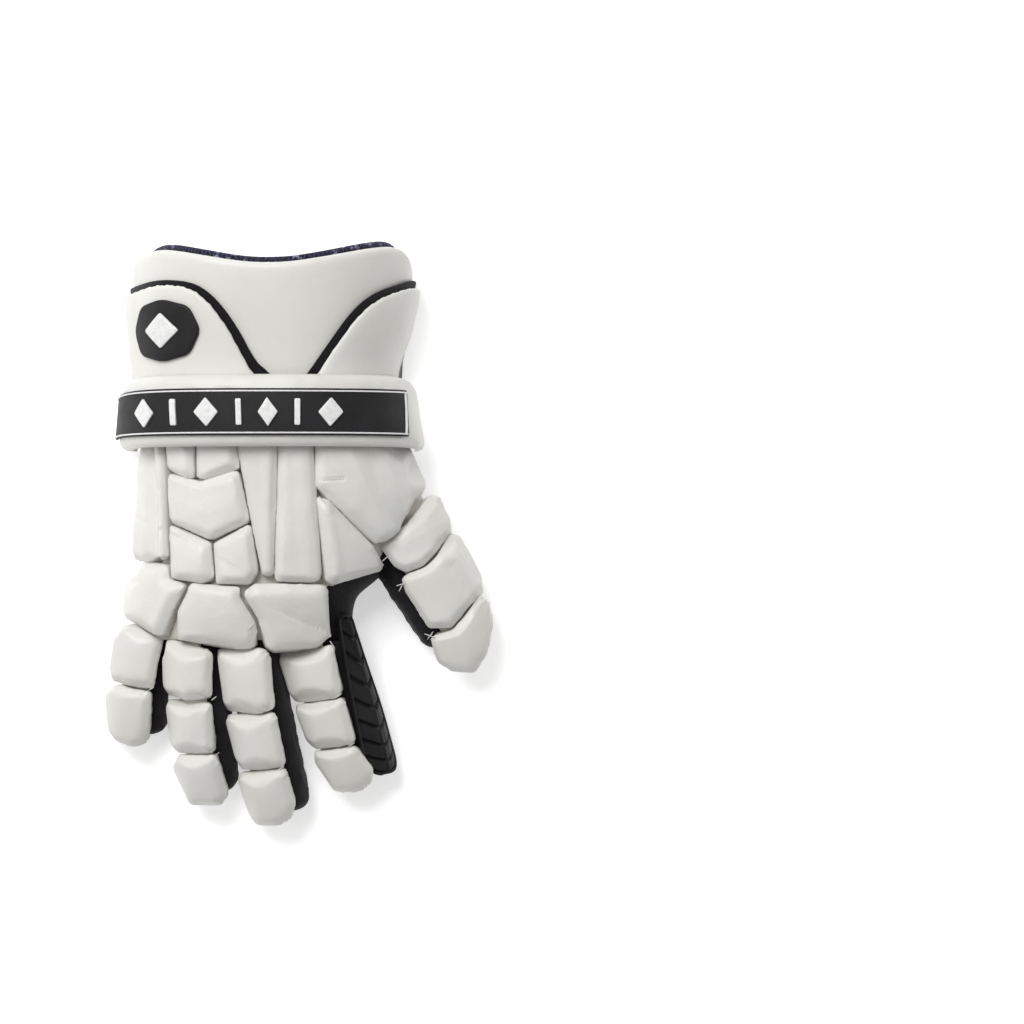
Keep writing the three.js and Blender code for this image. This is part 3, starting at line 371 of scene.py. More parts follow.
class Finish:
    """A procedural material: one Principled shader whose colour, roughness and bump come from nodes
    that read Object coordinates."""

    def __init__(self, name, colour, roughness, **sockets):
        self.material = bpy.data.materials.new(name)
        self.material.use_nodes = True
        self.nodes, self.links = self.material.node_tree.nodes, self.material.node_tree.links
        self.shader = self.nodes["Principled BSDF"].inputs
        for socket, value in {"Base_Color": (*colour, 1), "Roughness": roughness, **sockets}.items():
            self.shader[socket.replace("_", " ")].default_value = value
        self.place = self.add("TexCoord").outputs["Object"]
        self.relief = None

    def add(self, kind, values=None, **properties):
        node = self.nodes.new(f"ShaderNode{kind}")
        for name, value in properties.items():
            setattr(node, name, value)
        for socket, value in (values or {}).items():
            if isinstance(value, bpy.types.NodeSocket):
                self.links.new(value, node.inputs[socket])
            else:
                node.inputs[socket].default_value = value
        return node

    def noise(self, scale, detail=3.0, roughness=0.5):
        values = {"Vector": self.place, "Scale": scale, "Detail": detail, "Roughness": roughness}
        return self.add("TexNoise", values).outputs["Fac"]

    def cells(self, scale, stretch=None):
        where = self.place
        if stretch:
            where = self.add("Mapping", {"Vector": self.place, "Scale": stretch}).outputs[0]
        return self.add("TexVoronoi", {"Vector": where, "Scale": scale}).outputs["Distance"]

    def ramp(self, value, low, high, from_low=0.0, from_high=1.0):
        values = {"Value": value, "From Min": from_low, "From Max": from_high, "To Min": low, "To Max": high}
        return self.add("MapRange", values).outputs[0]

    def mix(self, value, low, high):
        """Colour from low to high as value goes from 0 to 1. Either may be another node's colour."""
        ends = {key: (*end, 1) if isinstance(end, tuple) else end for key, end in (("A", low), ("B", high))}
        return self.add("Mix", {"Factor": value, **ends}, data_type="RGBA").outputs["Result"]

    def tint(self, colour):
        self.links.new(colour, self.shader["Base Color"])

    def mottle(self, value, low, high, first, second):
        """Tints from the first colour to the second as value goes from low to high."""
        self.tint(self.mix(self.ramp(value, 0, 1, low, high), first, second))

    def rough(self, value):
        self.links.new(value, self.shader["Roughness"])

    def bump(self, height, distance, strength=1.0):
        values = {"Height": height, "Distance": distance, "Strength": strength}
        if self.relief is not None:
            values["Normal"] = self.relief
        self.relief = self.add("Bump", values).outputs["Normal"]
        self.links.new(self.relief, self.shader["Normal"])


WHITE = (0.735, 0.73, 0.70)
CREAM = (0.695, 0.685, 0.64)
# Painted shade: the leather's colour deep in the seams between and under the pads, where shade falls
SEAM_PAINTED_SHADE = (0.50, 0.47, 0.40)


def leather_finish():
    """White synthetic leather: fine pebbled grain, soft uneven sheen, and painted shade that greys it down in
    the seams.
    """
    leather = Finish("white_leather", WHITE, 0.42, Specular_IOR_Level=0.42)
    tone = leather.ramp(leather.noise(28, 4), 0, 1, 0.35, 0.7)
    # Painted shade: the seam attribute mixes the painted seam shade into the leather's colour
    seam = leather.add("Attribute", attribute_name="seam").outputs["Fac"]
    leather.tint(leather.mix(seam, leather.mix(tone, WHITE, CREAM), SEAM_PAINTED_SHADE))
    leather.rough(leather.ramp(leather.noise(60), 0.36, 0.52))
    leather.bump(leather.cells(1500), 0.00006, 0.5)
    leather.bump(leather.noise(240, 4, 0.55), 0.00035, 0.5)
    leather.bump(leather.noise(70), 0.0008, 0.25)
    return leather.material


def knit_finish():
    """Black stretch knit: rows of tiny loops with soft unevenness and a faint sheen."""
    knit = Finish("black_knit", (0.006, 0.005, 0.007), 0.9, Specular_IOR_Level=0.3, Sheen_Weight=0.12)
    knit.mottle(knit.noise(90), 0.3, 0.7, (0.004, 0.0035, 0.005), (0.011, 0.010, 0.013))
    knit.bump(knit.cells(1100, (1, 0.55, 1)), 0.0003, 0.6)
    knit.bump(knit.noise(120), 0.0008, 0.4)
    return knit.material


def palm_finish():
    """Dark grey suede palm: short nap with tiny perforations."""
    palm = Finish("palm_suede", (0.03, 0.03, 0.033), 0.85, Sheen_Weight=0.2)
    palm.mottle(palm.noise(160, 4), 0.3, 0.7, (0.022, 0.021, 0.024), (0.05, 0.048, 0.052))
    palm.bump(palm.ramp(palm.cells(260), 0, 1, 0.0, 0.35), 0.0005, 0.6)
    palm.bump(palm.noise(900), 0.0002, 0.5)
    return palm.material


def rubber_finish():
    """Moulded black rubber with a dusty satin skin."""
    rubber = Finish("black_rubber", (0.009, 0.009, 0.010), 0.58, Specular_IOR_Level=0.32)
    rubber.mottle(rubber.noise(70, 4), 0.3, 0.7, (0.007, 0.007, 0.008), (0.013, 0.012, 0.014))
    rubber.rough(rubber.ramp(rubber.noise(150), 0.5, 0.68))
    rubber.bump(rubber.noise(1200, 2), 0.00008, 0.5)
    return rubber.material


def print_finish():
    """White rubber ink, slightly worn and uneven."""
    ink = Finish("white_print", (0.76, 0.76, 0.75), 0.45)
    ink.mottle(ink.noise(420, 4), 0.42, 0.62, (0.80, 0.80, 0.79), (0.71, 0.71, 0.705))
    ink.bump(ink.noise(900), 0.0002, 0.5)
    return ink.material


def felt_finish():
    """Black felt: matted fibres with a soft sheen."""
    felt = Finish("black_felt", (0.006, 0.006, 0.007), 1.0, Specular_IOR_Level=0.25, Sheen_Weight=0.15)
    felt.mottle(felt.noise(700, 4, 0.7), 0.35, 0.7, (0.004, 0.004, 0.005), (0.012, 0.011, 0.013))
    felt.bump(felt.noise(1500, 4, 0.7), 0.0006, 0.7)
    return felt.material


def lining_finish():
    """Navy lining cloth: a fine woven net over darker ground, with paler threads here and there."""
    lining = Finish("navy_lining", (0.020, 0.020, 0.060), 0.85, Sheen_Weight=0.3)
    thread = lining.ramp(lining.cells(900), 0, 1, 0.25, 0.55)
    base = lining.mix(thread, (0.030, 0.030, 0.100), (0.006, 0.006, 0.012))
    pale = lining.ramp(lining.noise(260, 2), 0, 0.9, 0.58, 0.66)
    lining.tint(lining.mix(pale, base, (0.30, 0.30, 0.42)))
    lining.bump(lining.cells(900), 0.0003, 0.6)
    return lining.material


def thread_finish(name, colour):
    """Twisted sewing thread."""
    thread = Finish(name, colour, 0.7, Sheen_Weight=0.2)
    thread.tint(thread.mix(thread.noise(500, 2), colour, tuple(c * 0.8 for c in colour)))
    return thread.material


LEATHER = leather_finish()
KNIT = knit_finish()
PALM = palm_finish()
RUBBER = rubber_finish()
PRINT = print_finish()
FELT_CLOTH = felt_finish()
LINING_CLOTH = lining_finish()
WHITE_THREAD = thread_finish("white_thread", (0.74, 0.74, 0.71))
NAVY_THREAD = thread_finish("navy_thread", (0.05, 0.045, 0.13))


# The knit hand, its fingers and the palm

HAND_END = 22.5
SLEEVE_COUNT = 56
TIP_START = 0.85
TIP_REACH = 0.172
TIP_ROUND = 0.15
FOLD_DEPTH = 0.45
THUMB_HOLE_GAP = 0.3


def hand_rings(raised):
    """Rings round the hand: the arch over the top and down the flanks, then straight under."""
    y = along_mm(np.linspace(KNUCKLE_END, HAND_END, 90))[:, None]
    turns = np.concatenate([[-1.6, -1.3], np.linspace(-1, 1, 110), [1.3, 1.6]])
    middle, half, _ = arch_section(y)
    below = middle + half * np.linspace(0.9, -0.9, 24)
    under = np.stack(np.broadcast_arrays(below, y, SHELL_FLOOR - raised), axis=-1)
    return np.concatenate([on_arch(turns, y, raised), under], axis=1)


def make_hand():
    """A tube round the hand: outer rings out to both ends and back along inner rings a wall smaller."""
    mesh = loft("hand_knit", np.concatenate([hand_rings(0), hand_rings(-KNIT_WALL)[::-1]]))
    return add_piece("hand_knit", mesh, KNIT, "knit", "hand_shell")


def sleeve_rings(core, raised, folds=0.0):
    """Sections along the core that close round the tip: from the tip's start the size falls as a
    quarter superellipse. Shallow folds run across, deepest on the flanks."""
    turns = np.linspace(-2, 2, SLEEVE_COUNT, endpoint=False)
    straight = np.linspace(0, TIP_START, 40, endpoint=False)
    bend = np.linspace(0, QUARTER * 0.96, 16)
    along = np.concatenate([straight, TIP_START + TIP_REACH * np.sin(bend)])[:, None]
    share = np.concatenate([np.ones_like(straight), np.cos(bend) ** 0.75])[:, None]
    places = core.surface(turns, along, raised)
    middle = places.mean(axis=1, keepdims=True)
    out = (places - middle) * share[..., None]
    places = middle + out
    flank = np.sin(turns * QUARTER) ** 2
    ripple = folds * flank * share * waves(places * np.array([0.4, 1, 1]), 9, 5, 2)
    places = places + unit(out) * ripple[..., None]
    places[..., 2] = np.maximum(places[..., 2], 0 if raised == 0 else KNIT_WALL)
    return places


def core_tip(core, raised):
    point, way = core.line(1.0)
    return point + way * (TIP_REACH * TIP_ROUND * core.reach + raised)


def sleeve_mesh(name, core):
    rings = np.concatenate([sleeve_rings(core, 0, FOLD_DEPTH)[::-1], sleeve_rings(core, -KNIT_WALL)])
    return loft(name, rings, core_tip(core, 0), core_tip(core, -KNIT_WALL))


def bake(piece):
    """Replaces a piece's mesh by what its modifiers make of it."""
    view = bpy.context.evaluated_depsgraph_get()
    baked = bpy.data.meshes.new_from_object(piece.evaluated_get(view))
    piece.modifiers.clear()
    old, piece.data = piece.data, baked
    bpy.data.meshes.remove(old)


def cut_piece(piece, cutter_mesh):
    """Takes a closed mesh away from a piece and deletes the cutter."""
    cutter = link_new("cutter", cutter_mesh)
    cut = piece.modifiers.new("cut", "BOOLEAN")
    cut.operation, cut.solver, cut.object = "DIFFERENCE", "EXACT", cutter
    bake(piece)
    bpy.data.objects.remove(cutter)


def solid_core(core, raised):
    """A finger's outer form as one closed body."""
    rings = sleeve_rings(core, raised)
    return loft("core", rings, rings[0].mean(axis=0), core_tip(core, raised))


def make_palm():
    """A flat slab: a rounded section across, carried along the hand."""
    y = along_mm(np.linspace(KNUCKLE_END, 19, 70))[:, None]
    middle, half, _ = arch_section(y)
    across = middle + 0.88 * half * signed_power(np.cos(circle(72)), 0.12)
    up = 1 + signed_power(np.sin(circle(72)), 0.35)
    rings = np.stack(np.broadcast_arrays(across, y, up), axis=-1)
    add_piece("palm_leather", capped_loft("palm_leather", rings), PALM, "palm", "palm")


hand = make_hand()
cut_piece(hand, solid_core(CORES["thumb"], -KNIT_WALL))
for finger_name in FINGERS:
    sleeve_name = f"{finger_name}_sleeve"
    add_piece(f"{finger_name}_knit", sleeve_mesh(sleeve_name, CORES[finger_name]), KNIT, "knit", sleeve_name)
thumb = add_piece("thumb_knit", sleeve_mesh("thumb", CORES["thumb"]), KNIT, "knit", "thumb_sleeve")
cut_piece(thumb, capped_loft("hand", hand_rings(THUMB_HOLE_GAP)))
make_palm()


# White leather under and between the pads

COVER_HEIGHT = 2.3
# Painted shade: how far the skin under and between the pads is darkened towards the seam shade
COVER_PAINTED_SHADE = 0.4
BACK_COVER = dict(first=-1.25, low=-17.9, high=16.4, under=0.8, edge=1.0)
COVER_RIGHT = {
    "at": [-17.9, -17.0, -9.2, -7.4, -5.6, -3, 0, 4, 8.8, 16.4],
    "x": [5.0, 7.0, 7.0, 10.0, 20.0, 22.0, 24.4, 26.4, 31.5, 28.5],
}
FINGER_COVER = dict(last=0.95, under=0.4, edge=0.6)
# First and last turn of each finger's strip, and where along the finger it starts
COVER_TURNS = {"little": (-1.0, 0.04, 0), "ring": (-0.95, 0.03, 0), "middle": (-0.95, 0.07, 0),
               "index": (-0.95, 0.03, 0), "thumb": (-0.13, 1.05, 0.1)}


def add_cover(name, at_height, under, edge, border, uneven):
    """A thin leather skin: at_height gives the grid of points at a height over what it covers. The skin
    falls from its height to its edge within a border, in shares of the grid, and waves a little."""
    rows, count = at_height(under).shape[:2]
    down, over = np.linspace(0, 1, rows)[:, None], np.linspace(0, 1, count)
    rolled = smoothstep(0, border[0], np.minimum(down, 1 - down))
    rolled = rolled * smoothstep(0, border[1], np.minimum(over, 1 - over))
    outer = at_height(edge + (COVER_HEIGHT - edge) * rolled)
    depth, size, seed = uneven
    outer = lifted(outer, depth * waves(outer, size, seed, 2) * rolled)
    mesh = shell(name, outer, at_height(under))
    # Painted shade: the whole skin is greyed, as it lies in the shade between the pads
    paint_seam_shade(mesh, COVER_PAINTED_SHADE)
    add_piece(name, mesh, LEATHER, "leather")


def make_back_cover():
    """The skin over the arch of the hand: from the little-finger flank to a right edge that is read
    from a table along the glove."""
    y = along_mm(np.linspace(BACK_COVER["low"], BACK_COVER["high"], 150))[:, None]
    right_x = across_mm(np.interp(y / LENGTH * 100, COVER_RIGHT["at"], COVER_RIGHT["x"]))
    right = turn_at(right_x, y, COVER_HEIGHT)
    turn = BACK_COVER["first"] + (right - BACK_COVER["first"]) * np.linspace(0, 1, 160)
    add_cover("back_cover", lambda height: on_arch(turn, y, height), BACK_COVER["under"], BACK_COVER["edge"],
              (0.02, 0.02), (0.25, 14, 31))


def make_finger_cover(name, first, last, start):
    """A strip along the back of a finger under its pads, between two turns of its core."""
    along = np.linspace(start, FINGER_COVER["last"], 90)[:, None]
    turn = np.linspace(first, last, 60)
    add_cover(f"{name}_cover", lambda height: CORES[name].surface(turn, along, height),
              FINGER_COVER["under"], FINGER_COVER["edge"], (0.03, 0.05), (0.2, 9, 41))


make_back_cover()
for cover_name, cover_reach in COVER_TURNS.items():
    make_finger_cover(cover_name, *cover_reach)


# The pads

PAD_VOXEL = 1.6
PAD_PRESSURE = 4.0
PAD_STIFFNESS = 40
PAD_BENDING = 6
PAD_FRAMES = 20
PAD_CAP = 0.7
PAD_GROW = 1.0
PAD_FLOOR = 0.3
SKIRT_HEIGHT = 5.0
SKIRT_REACH = 1.5
FLAT_SHARE = 0.9
FLAT_EASE = 0.35
GATHER_REACH = 6.5
GATHER_DEPTH = 0.45
SEAT_SAMPLES = 500
SEAT_EASE = 0.015

HAND_PADS = [
    "long_pad_outer", "long_pad_inner", "crown_pad_left", "crown_pad_right", "chevron_pad", "small_pad_left",
    "small_pad_right", "ridge_pad_middle", "ridge_pad_index", "triangle_pad", "base_pad",
    "knuckle_pad_little", "knuckle_pad_middle", "knuckle_pad_index",
]
FINGER_PADS = [f"{finger_name}_pad_{part}" for finger_name in CORES for part in ("root", "middle", "tip")]
FINGER_PADS.remove("little_pad_middle")
PADS = HAND_PADS + FINGER_PADS
NARROW_PADS = {"long_pad_inner": 0.5, "long_pad_outer": 0.8}
# How far the top of a finger pad leans over, in mm, and how much further up a pad reaches
FINGER_LEAN = (-1.3, 0.8, 0)
TOP_LEAN = {"thumb_pad_root": (0, 0, 0), "thumb_pad_middle": (-0.8, 0.4, 0), "thumb_pad_tip": (-0.8, 0.8, 0)}
REACH_UP = {
    "little_pad_root": 1.0, "ring_pad_root": 2.2, "middle_pad_root": 2.2, "index_pad_root": 2.2,
    "knuckle_pad_little": 0.8, "knuckle_pad_middle": 1.2, "knuckle_pad_index": 1.2,
}

# Ridges where a pad's leather folds over its foam: a path in percent of the glove's width and length,
# its height in mm and how far its slopes reach
RIDGES = {
    "base_pad": [([(11.5, 16.5), (22.4, 1.2)], 2.4, 12), ([(20.5, 16.5), (26.4, 4.0)], 2.2, 8),
                 ([(6.2, 9.3), (11.8, 9.6)], -0.7, 1.6)],
    "triangle_pad": [([(6.6, 4.4), (9.6, -6.6)], 1.6, 6), ([(8.2, 3.6), (19.6, -4.6)], 0.4, 5)],
    "thumb_pad_middle": [([(35.1, -3.4), (40.2, -4.3), (45.5, -10.7)], 1.5, 6)],
    "thumb_pad_root": [([(27.0, -1.6), (36.6, 2.2)], 0.6, 7)],
    "ridge_pad_index": [([(1.2, 15.5), (3.2, -6.4)], 0.5, 6)],
    "ridge_pad_middle": [([(-7.4, 15.5), (-8.0, -5.6)], 0.5, 4)],
    "knuckle_pad_middle": [([(-25.0, -14.6), (-14.4, -12.6)], 0.4, 9)],
    "chevron_pad": [([(-32.0, 6.2), (-22.4, 3.6), (-13.8, 6.4)], 0.5, 9)],
}


def outward(name, points):
    """Unit vectors and distances to each point from the nearest point of the line that the pad goes
    round: the hand's middle or a finger's core."""
    if name in FINGER_PADS:
        line = CORES[name.split("_")[0]].line(np.linspace(-0.1, 1.05, 90))[0]
    else:
        y = np.linspace(-80, 70, 90)
        line = np.stack([arch_section(y)[0], y, np.full_like(y, FLANK_HEIGHT)], axis=-1)
    line = place(line)
    nearest = ((points[:, None] - line) ** 2).sum(-1).argmin(axis=1)
    away = points - line[nearest]
    return unit(away), np.linalg.norm(away, axis=1)


def remeshed_copy(name):
    """A CAD node's mesh, its loose triangles merged, remeshed into even quads."""
    work = bmesh.new()
    work.from_mesh(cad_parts[name].data)
    bmesh.ops.remove_doubles(work, verts=work.verts, dist=1e-5)
    mesh = bpy.data.meshes.new(f"{name}_cover")
    work.to_mesh(mesh)
    work.free()
    piece = link_new(f"{name}_cover", mesh)
    remesh = piece.modifiers.new("remesh", "REMESH")
    remesh.mode, remesh.voxel_size, remesh.use_smooth_shade = "VOXEL", PAD_VOXEL * MM, True
    bake(piece)
    return piece


def relax(mesh, rounds=2, weight=0.5):
    """Moves each vertex towards the mean of its neighbours, then back a little less, to keep volume."""
    points = read_points(mesh)
    edges = read_array(mesh.edges, "vertices", 2, np.int32)
    degree = np.bincount(edges.ravel(), minlength=len(points))[:, None]
    for turn in range(rounds):
        total = np.zeros_like(points)
        np.add.at(total, edges[:, 0], points[edges[:, 1]])
        np.add.at(total, edges[:, 1], points[edges[:, 0]])
        step = weight if turn % 2 == 0 else -weight * 0.94
        points = points + step * (total / degree - points)
    write_points(mesh, points)


def inflate(piece, name):
    """Sets up Cloth that blows the pad up against its own leather, its seat held. Gives its points."""
    points = read_points(piece.data)
    away, _ = outward(name, points)
    seat = (read_normals(piece.data) * away).sum(1) < -0.35
    group = piece.vertex_groups.new(name="seat")
    group.add([int(i) for i in np.flatnonzero(seat)], 1.0, "REPLACE")
    cloth = piece.modifiers.new("cloth", "CLOTH")
    settings = dict(quality=4, use_pressure=True, uniform_pressure_force=PAD_PRESSURE,
                    tension_stiffness=PAD_STIFFNESS, compression_stiffness=PAD_STIFFNESS,
                    bending_stiffness=PAD_BENDING, vertex_group_mass="seat")
    for setting, value in settings.items():
        setattr(cloth.settings, setting, value)
    cloth.settings.effector_weights.gravity = 0
    cloth.collision_settings.use_collision = False
    cloth.point_cache.frame_start, cloth.point_cache.frame_end = 1, PAD_FRAMES
    return points


def simulate(pieces):
    """Runs all the pads' cloth together and caps each vertex's move."""
    scene = bpy.context.scene
    for frame_number in range(1, PAD_FRAMES + 1):
        scene.frame_set(frame_number)
    for piece, before in pieces:
        bake(piece)
        move = read_points(piece.data) - before
        length = np.linalg.norm(move, axis=1, keepdims=True)
        move *= np.minimum(1, PAD_CAP * MM / np.maximum(length, 1e-9))
        write_points(piece.data, before + move)
    scene.frame_set(1)


def corner_gathers(points, seed):
    """Creases that run out from the pad's two corners by the gusset: a cosine of the angle round the
    corner, fading with the square of the distance from it."""
    total = np.zeros(len(points))
    right = points[:, 0].max() - 2
    for end, y in enumerate((points[:, 1].min() + 1, points[:, 1].max() - 1)):
        dx, dy = points[:, 0] - right, points[:, 1] - y
        distance = np.hypot(dx, dy)
        fade = np.exp(-(distance / GATHER_REACH) ** 2) * smoothstep(0.5, 2.5, distance)
        total += GATHER_DEPTH * fade * np.cos(9 * np.arctan2(dy, dx) + seed + end)
    return total


def path_distance(points, path):
    """Distance in mm, seen from above, from each point to the nearest spot of a path of corners."""
    x, y = np.array(path).T
    corners = place(np.stack([across_mm(x), along_mm(y), 0 * x], axis=-1))[:, :2]
    start, run = corners[:-1], np.diff(corners, axis=0)
    out = points[:, None, :2] - start
    share = np.clip((out * run).sum(-1) / (run ** 2).sum(-1), 0, 1)
    return np.linalg.norm(out - share[..., None] * run, axis=-1).min(axis=1) / MM


def ridges(name, points):
    """Height in mm that the pad's ridges add: tents that fall off evenly from each path."""
    total = np.zeros(len(points))
    for path, height, reach in RIDGES.get(name, []):
        total += height * np.clip(1 - path_distance(points, path) / reach, 0, 1)
    return total


def seat_under(points, away, distance, facing):
    """Distance from the axis to the pad's underside below each vertex: the mean of the underside's own
    distances, weighted by the inverse square of how far off each is along the axis and round it."""
    under = facing < -0.5
    flat = np.stack([points[:, 1] / 0.05, away[:, 0] * 1.2, away[:, 2] * 1.2], axis=1)
    source, target = flat[under], distance[under]
    if len(source) > SEAT_SAMPLES:
        pick = np.linspace(0, len(source) - 1, SEAT_SAMPLES).astype(int)
        source, target = source[pick], target[pick]
    weight = 1 / (((flat[:, None] - source) ** 2).sum(-1) + SEAT_EASE) ** 2
    return (weight * target).sum(1) / weight.sum(1)


def dress_pad(piece, name, seed):
    """One subdivision, then the leather's own form: a top cut flat and leaned over, a skirt that slopes
    out to its seam at the foot, gathers that fade up the sides, ridges, and slow unevenness on top."""
    subdivide = piece.modifiers.new("fine", "SUBSURF")
    subdivide.levels = subdivide.render_levels = 1
    bake(piece)
    mesh = piece.data
    points, normals = read_points(mesh), read_normals(mesh)
    away, distance = outward(name, points)
    facing = (normals * away).sum(1)
    height = (distance - seat_under(points, away, distance, facing)) / MM
    sideways = unit(normals - away * facing[:, None])
    level = np.sqrt(np.clip(1 - facing ** 2, 0, 1))
    top = FLAT_SHARE * np.percentile(height[facing > 0.7], 85)
    excess = FLAT_EASE * np.logaddexp(0, (height - top) / FLAT_EASE)
    points = points - away * (excess * np.clip(facing * 2, 0, 1) * MM)[:, None]
    if name in FINGER_PADS:
        lean = np.clip(height / top, 0, 1) ** 2 * MM
        points = lifted(points, lean, TOP_LEAN.get(name, FINGER_LEAN))
    far = points[:, 1].max()
    points[:, 1] += REACH_UP.get(name, 0.0) * MM * smoothstep(far - 6 * MM, far, points[:, 1])
    skirt = np.clip(1 - height / SKIRT_HEIGHT, 0, 1) ** 2 * level * (facing > -0.75)
    grow = (PAD_GROW * level + SKIRT_REACH * skirt) * NARROW_PADS.get(name, 1.0)
    points = points + sideways * (grow * MM)[:, None]
    gather = waves(points / MM, 5.5, seed, 2) * np.clip(1 - height / 9, 0, 1) * level
    slow = waves(points / MM, 26, seed + 50, 2) * np.clip(facing, 0, 1)
    relief = 0.2 * gather + 0.14 * slow + ridges(name, points) * np.clip(facing, 0, 1)
    if name in FINGER_PADS:
        relief = relief + corner_gathers(points / MM, seed) * np.clip(facing + 0.3, 0, 1)
    points = points + normals * (relief * MM)[:, None]
    points[:, 2] = np.maximum(points[:, 2], PAD_FLOOR * MM)
    write_points(mesh, points)
    # Painted shade: the leather darkens towards the pad's foot, down in the seam between pads
    paint_seam_shade(mesh, smoothstep(5.5, 0.5, height) * 0.85)
    mesh.polygons.foreach_set("use_smooth", np.ones(len(mesh.polygons), bool))


def make_pads():
    started = []
    for name in PADS:
        piece = remeshed_copy(name)
        relax(piece.data)
        started.append((piece, inflate(piece, name)))
    simulate(started)
    for seed, (name, (piece, _)) in enumerate(zip(PADS, started)):
        dress_pad(piece, name, seed)
        finish_piece(piece, LEATHER, "leather", name)


make_pads()


# The cuff

LAYER_COUNT = 200
EDGE_WINDOW = 17
EDGE_FALL = 16
END_ROUND = 0.02


def layer_turns(layer):
    """The turns at which a layer has its sections."""
    return np.linspace(-layer["reach"], layer["reach"], LAYER_COUNT)


def edge_height(table, raised, turns):
    """A layer's own upper edge: a table read by its place across, smoothed along the edge and falling
    away below its widest point."""
    columns = np.array(table, float)
    y = np.full(turns.shape, along_mm(columns[0, 1]))
    for _ in range(6):
        x = on_arch(np.clip(turns, -1, 1), y, raised)[..., 0] / WIDTH * 100
        y = along_mm(read_smooth(columns[:, 0], columns[:, 1], x))
    window = np.hanning(EDGE_WINDOW) / np.hanning(EDGE_WINDOW).sum()
    y = np.convolve(np.pad(y, EDGE_WINDOW // 2, mode="edge"), window, mode="valid")
    return y - EDGE_FALL * np.maximum(np.abs(turns) - 1, 0)


def layer_profile(rows, round_rows=7):
    """A closed profile: rows up the outside, a half round over the edge, rows down the inside and a
    half round under. Gives share along, the edge's own offset in wall halves and the height share."""
    out = np.linspace(0, 1, rows)
    angle = np.linspace(-QUARTER, QUARTER, round_rows + 2)[1:-1]
    share = np.concatenate([out, np.ones(round_rows), out[::-1], np.zeros(round_rows)])
    offset = np.concatenate([np.zeros(rows), np.cos(angle), np.zeros(rows), -np.cos(angle)])
    height = np.concatenate([np.ones(rows), -np.sin(angle), -np.ones(rows), np.sin(angle)])
    return share, offset, height


def cuff_layer(layer, high, rows=60, sink=None, uneven=None):
    """A wall over the arch: at each turn a rounded profile between its two edges and two heights. The
    face sinks near its upper edge as a quarter round, and the little-finger side moves outwards, by
    more towards its flank."""
    turns = layer_turns(layer)[:, None]
    low, high = along_mm(layer["low"]), high[:, None]
    share, offset, height = layer_profile(rows)
    half = (layer["outer"] - layer["inner"]) / 2
    end_round = quarter_round((layer["reach"] - np.abs(turns)) / END_ROUND)
    y = low + half + (high - low - 2 * half) * share + offset * half * end_round
    raised = (layer["inner"] + layer["outer"]) / 2 + height * half * np.maximum(end_round, 0.05)
    if sink:
        depth, reach = sink
        raised = raised - depth * (1 - quarter_round((high - y) / reach)) * (height + 1) / 2
    rings = on_arch(turns, y, raised)
    if uneven:
        depth, size, seed = uneven
        rings = lifted(rings, depth * waves(rings, size, seed), (0.2, 0, 1))
    return lifted(rings, 2.2 * smoothstep(0.65, 1.0, -turns), (-1, 0, 0))


def add_padded(node, rings):
    mesh = capped_loft(f"{node}_cover", rings)
    paint_seam_shade(mesh, 0)
    add_piece(f"{node}_cover", mesh, LEATHER, "leather", node)


def add_cloth(node, rings, material, slot):
    """A layer that is a sheet of cloth on the cuff plate. Its area, half of all its faces as it has two sides,
    is worked out but not used."""
    piece = add_piece(f"{node}_cloth", capped_loft(f"{node}_cloth", rings), material, slot, node)
    area = read_array(piece.data.polygons, "area", 1).sum() / 2


def make_layers():
    """Plate, lining, felt and leather face, each over the last. The face's edge is cut a little ragged."""
    high = edge_height(RIM, PLATE["outer"], layer_turns(PLATE))
    add_padded("cuff_plate", cuff_layer(PLATE, high, sink=(1.2, 9), uneven=(0.25, 60, 3)))
    high = edge_height(RIM, PLATE["outer"], layer_turns(LINING)) + LINING["proud"]
    add_cloth("cuff_lining", cuff_layer(LINING, high, 40), LINING_CLOTH, "lining")
    high = edge_height(WING, FELT["outer"], layer_turns(FELT))
    add_cloth("wing_felt", cuff_layer(FELT, high, 40), FELT_CLOTH, "felt")
    turns = layer_turns(LEATHER_FACE)
    ragged = 0.25 * np.sin(turns * 190) + 0.2 * np.sin(turns * 83 + 1)
    high = edge_height(FACE, LEATHER_FACE["outer"], turns) + ragged
    add_padded("wing_face", cuff_layer(LEATHER_FACE, high, sink=(1.6, 12), uneven=(0.3, 45, 8)))


# The roll, the strap and the raised figures

ROLL_LOW = along_mm(ROLL["low"])
ROLL_HIGH = along_mm(ROLL["high"])


def roll_skin(share, least=0.0):
    """How far the roll's skin stands over its inside: a full flat round with its lower edge standing out."""
    full = np.maximum(least, (1 - np.abs(2 * share - 1) ** 4) ** 0.4)
    return ROLL["thickness"] * full + ROLL["flare"] * (1 - share)


def roll_height(share):
    """Height of the roll's skin over the arch, for what is laid on it."""
    return ROLL["inner"] + roll_skin(share, 0.3)


def roll_place(turn, share):
    """Place along the glove at a share of the roll: its edges fall away with the fourth power of the turn,
    the upper one on the thumb's side with the eighth."""
    bend = np.minimum(np.abs(turn), 1) ** 4
    late = np.where(np.asarray(turn) > 0, 0.6 * bend * bend, bend)
    low, high = ROLL_LOW - ROLL["low_fall"] * bend, ROLL_HIGH - ROLL["high_fall"] * late
    return low + (high - low) * share


def upright(turn, share):
    """Leans the turn with the share, more and more towards the right end, so that what is laid across
    the roll stands upright as seen from above although the arch widens downwards."""
    return turn + 0.15 * smoothstep(-0.2, 0.69, turn) * (share - 0.475)


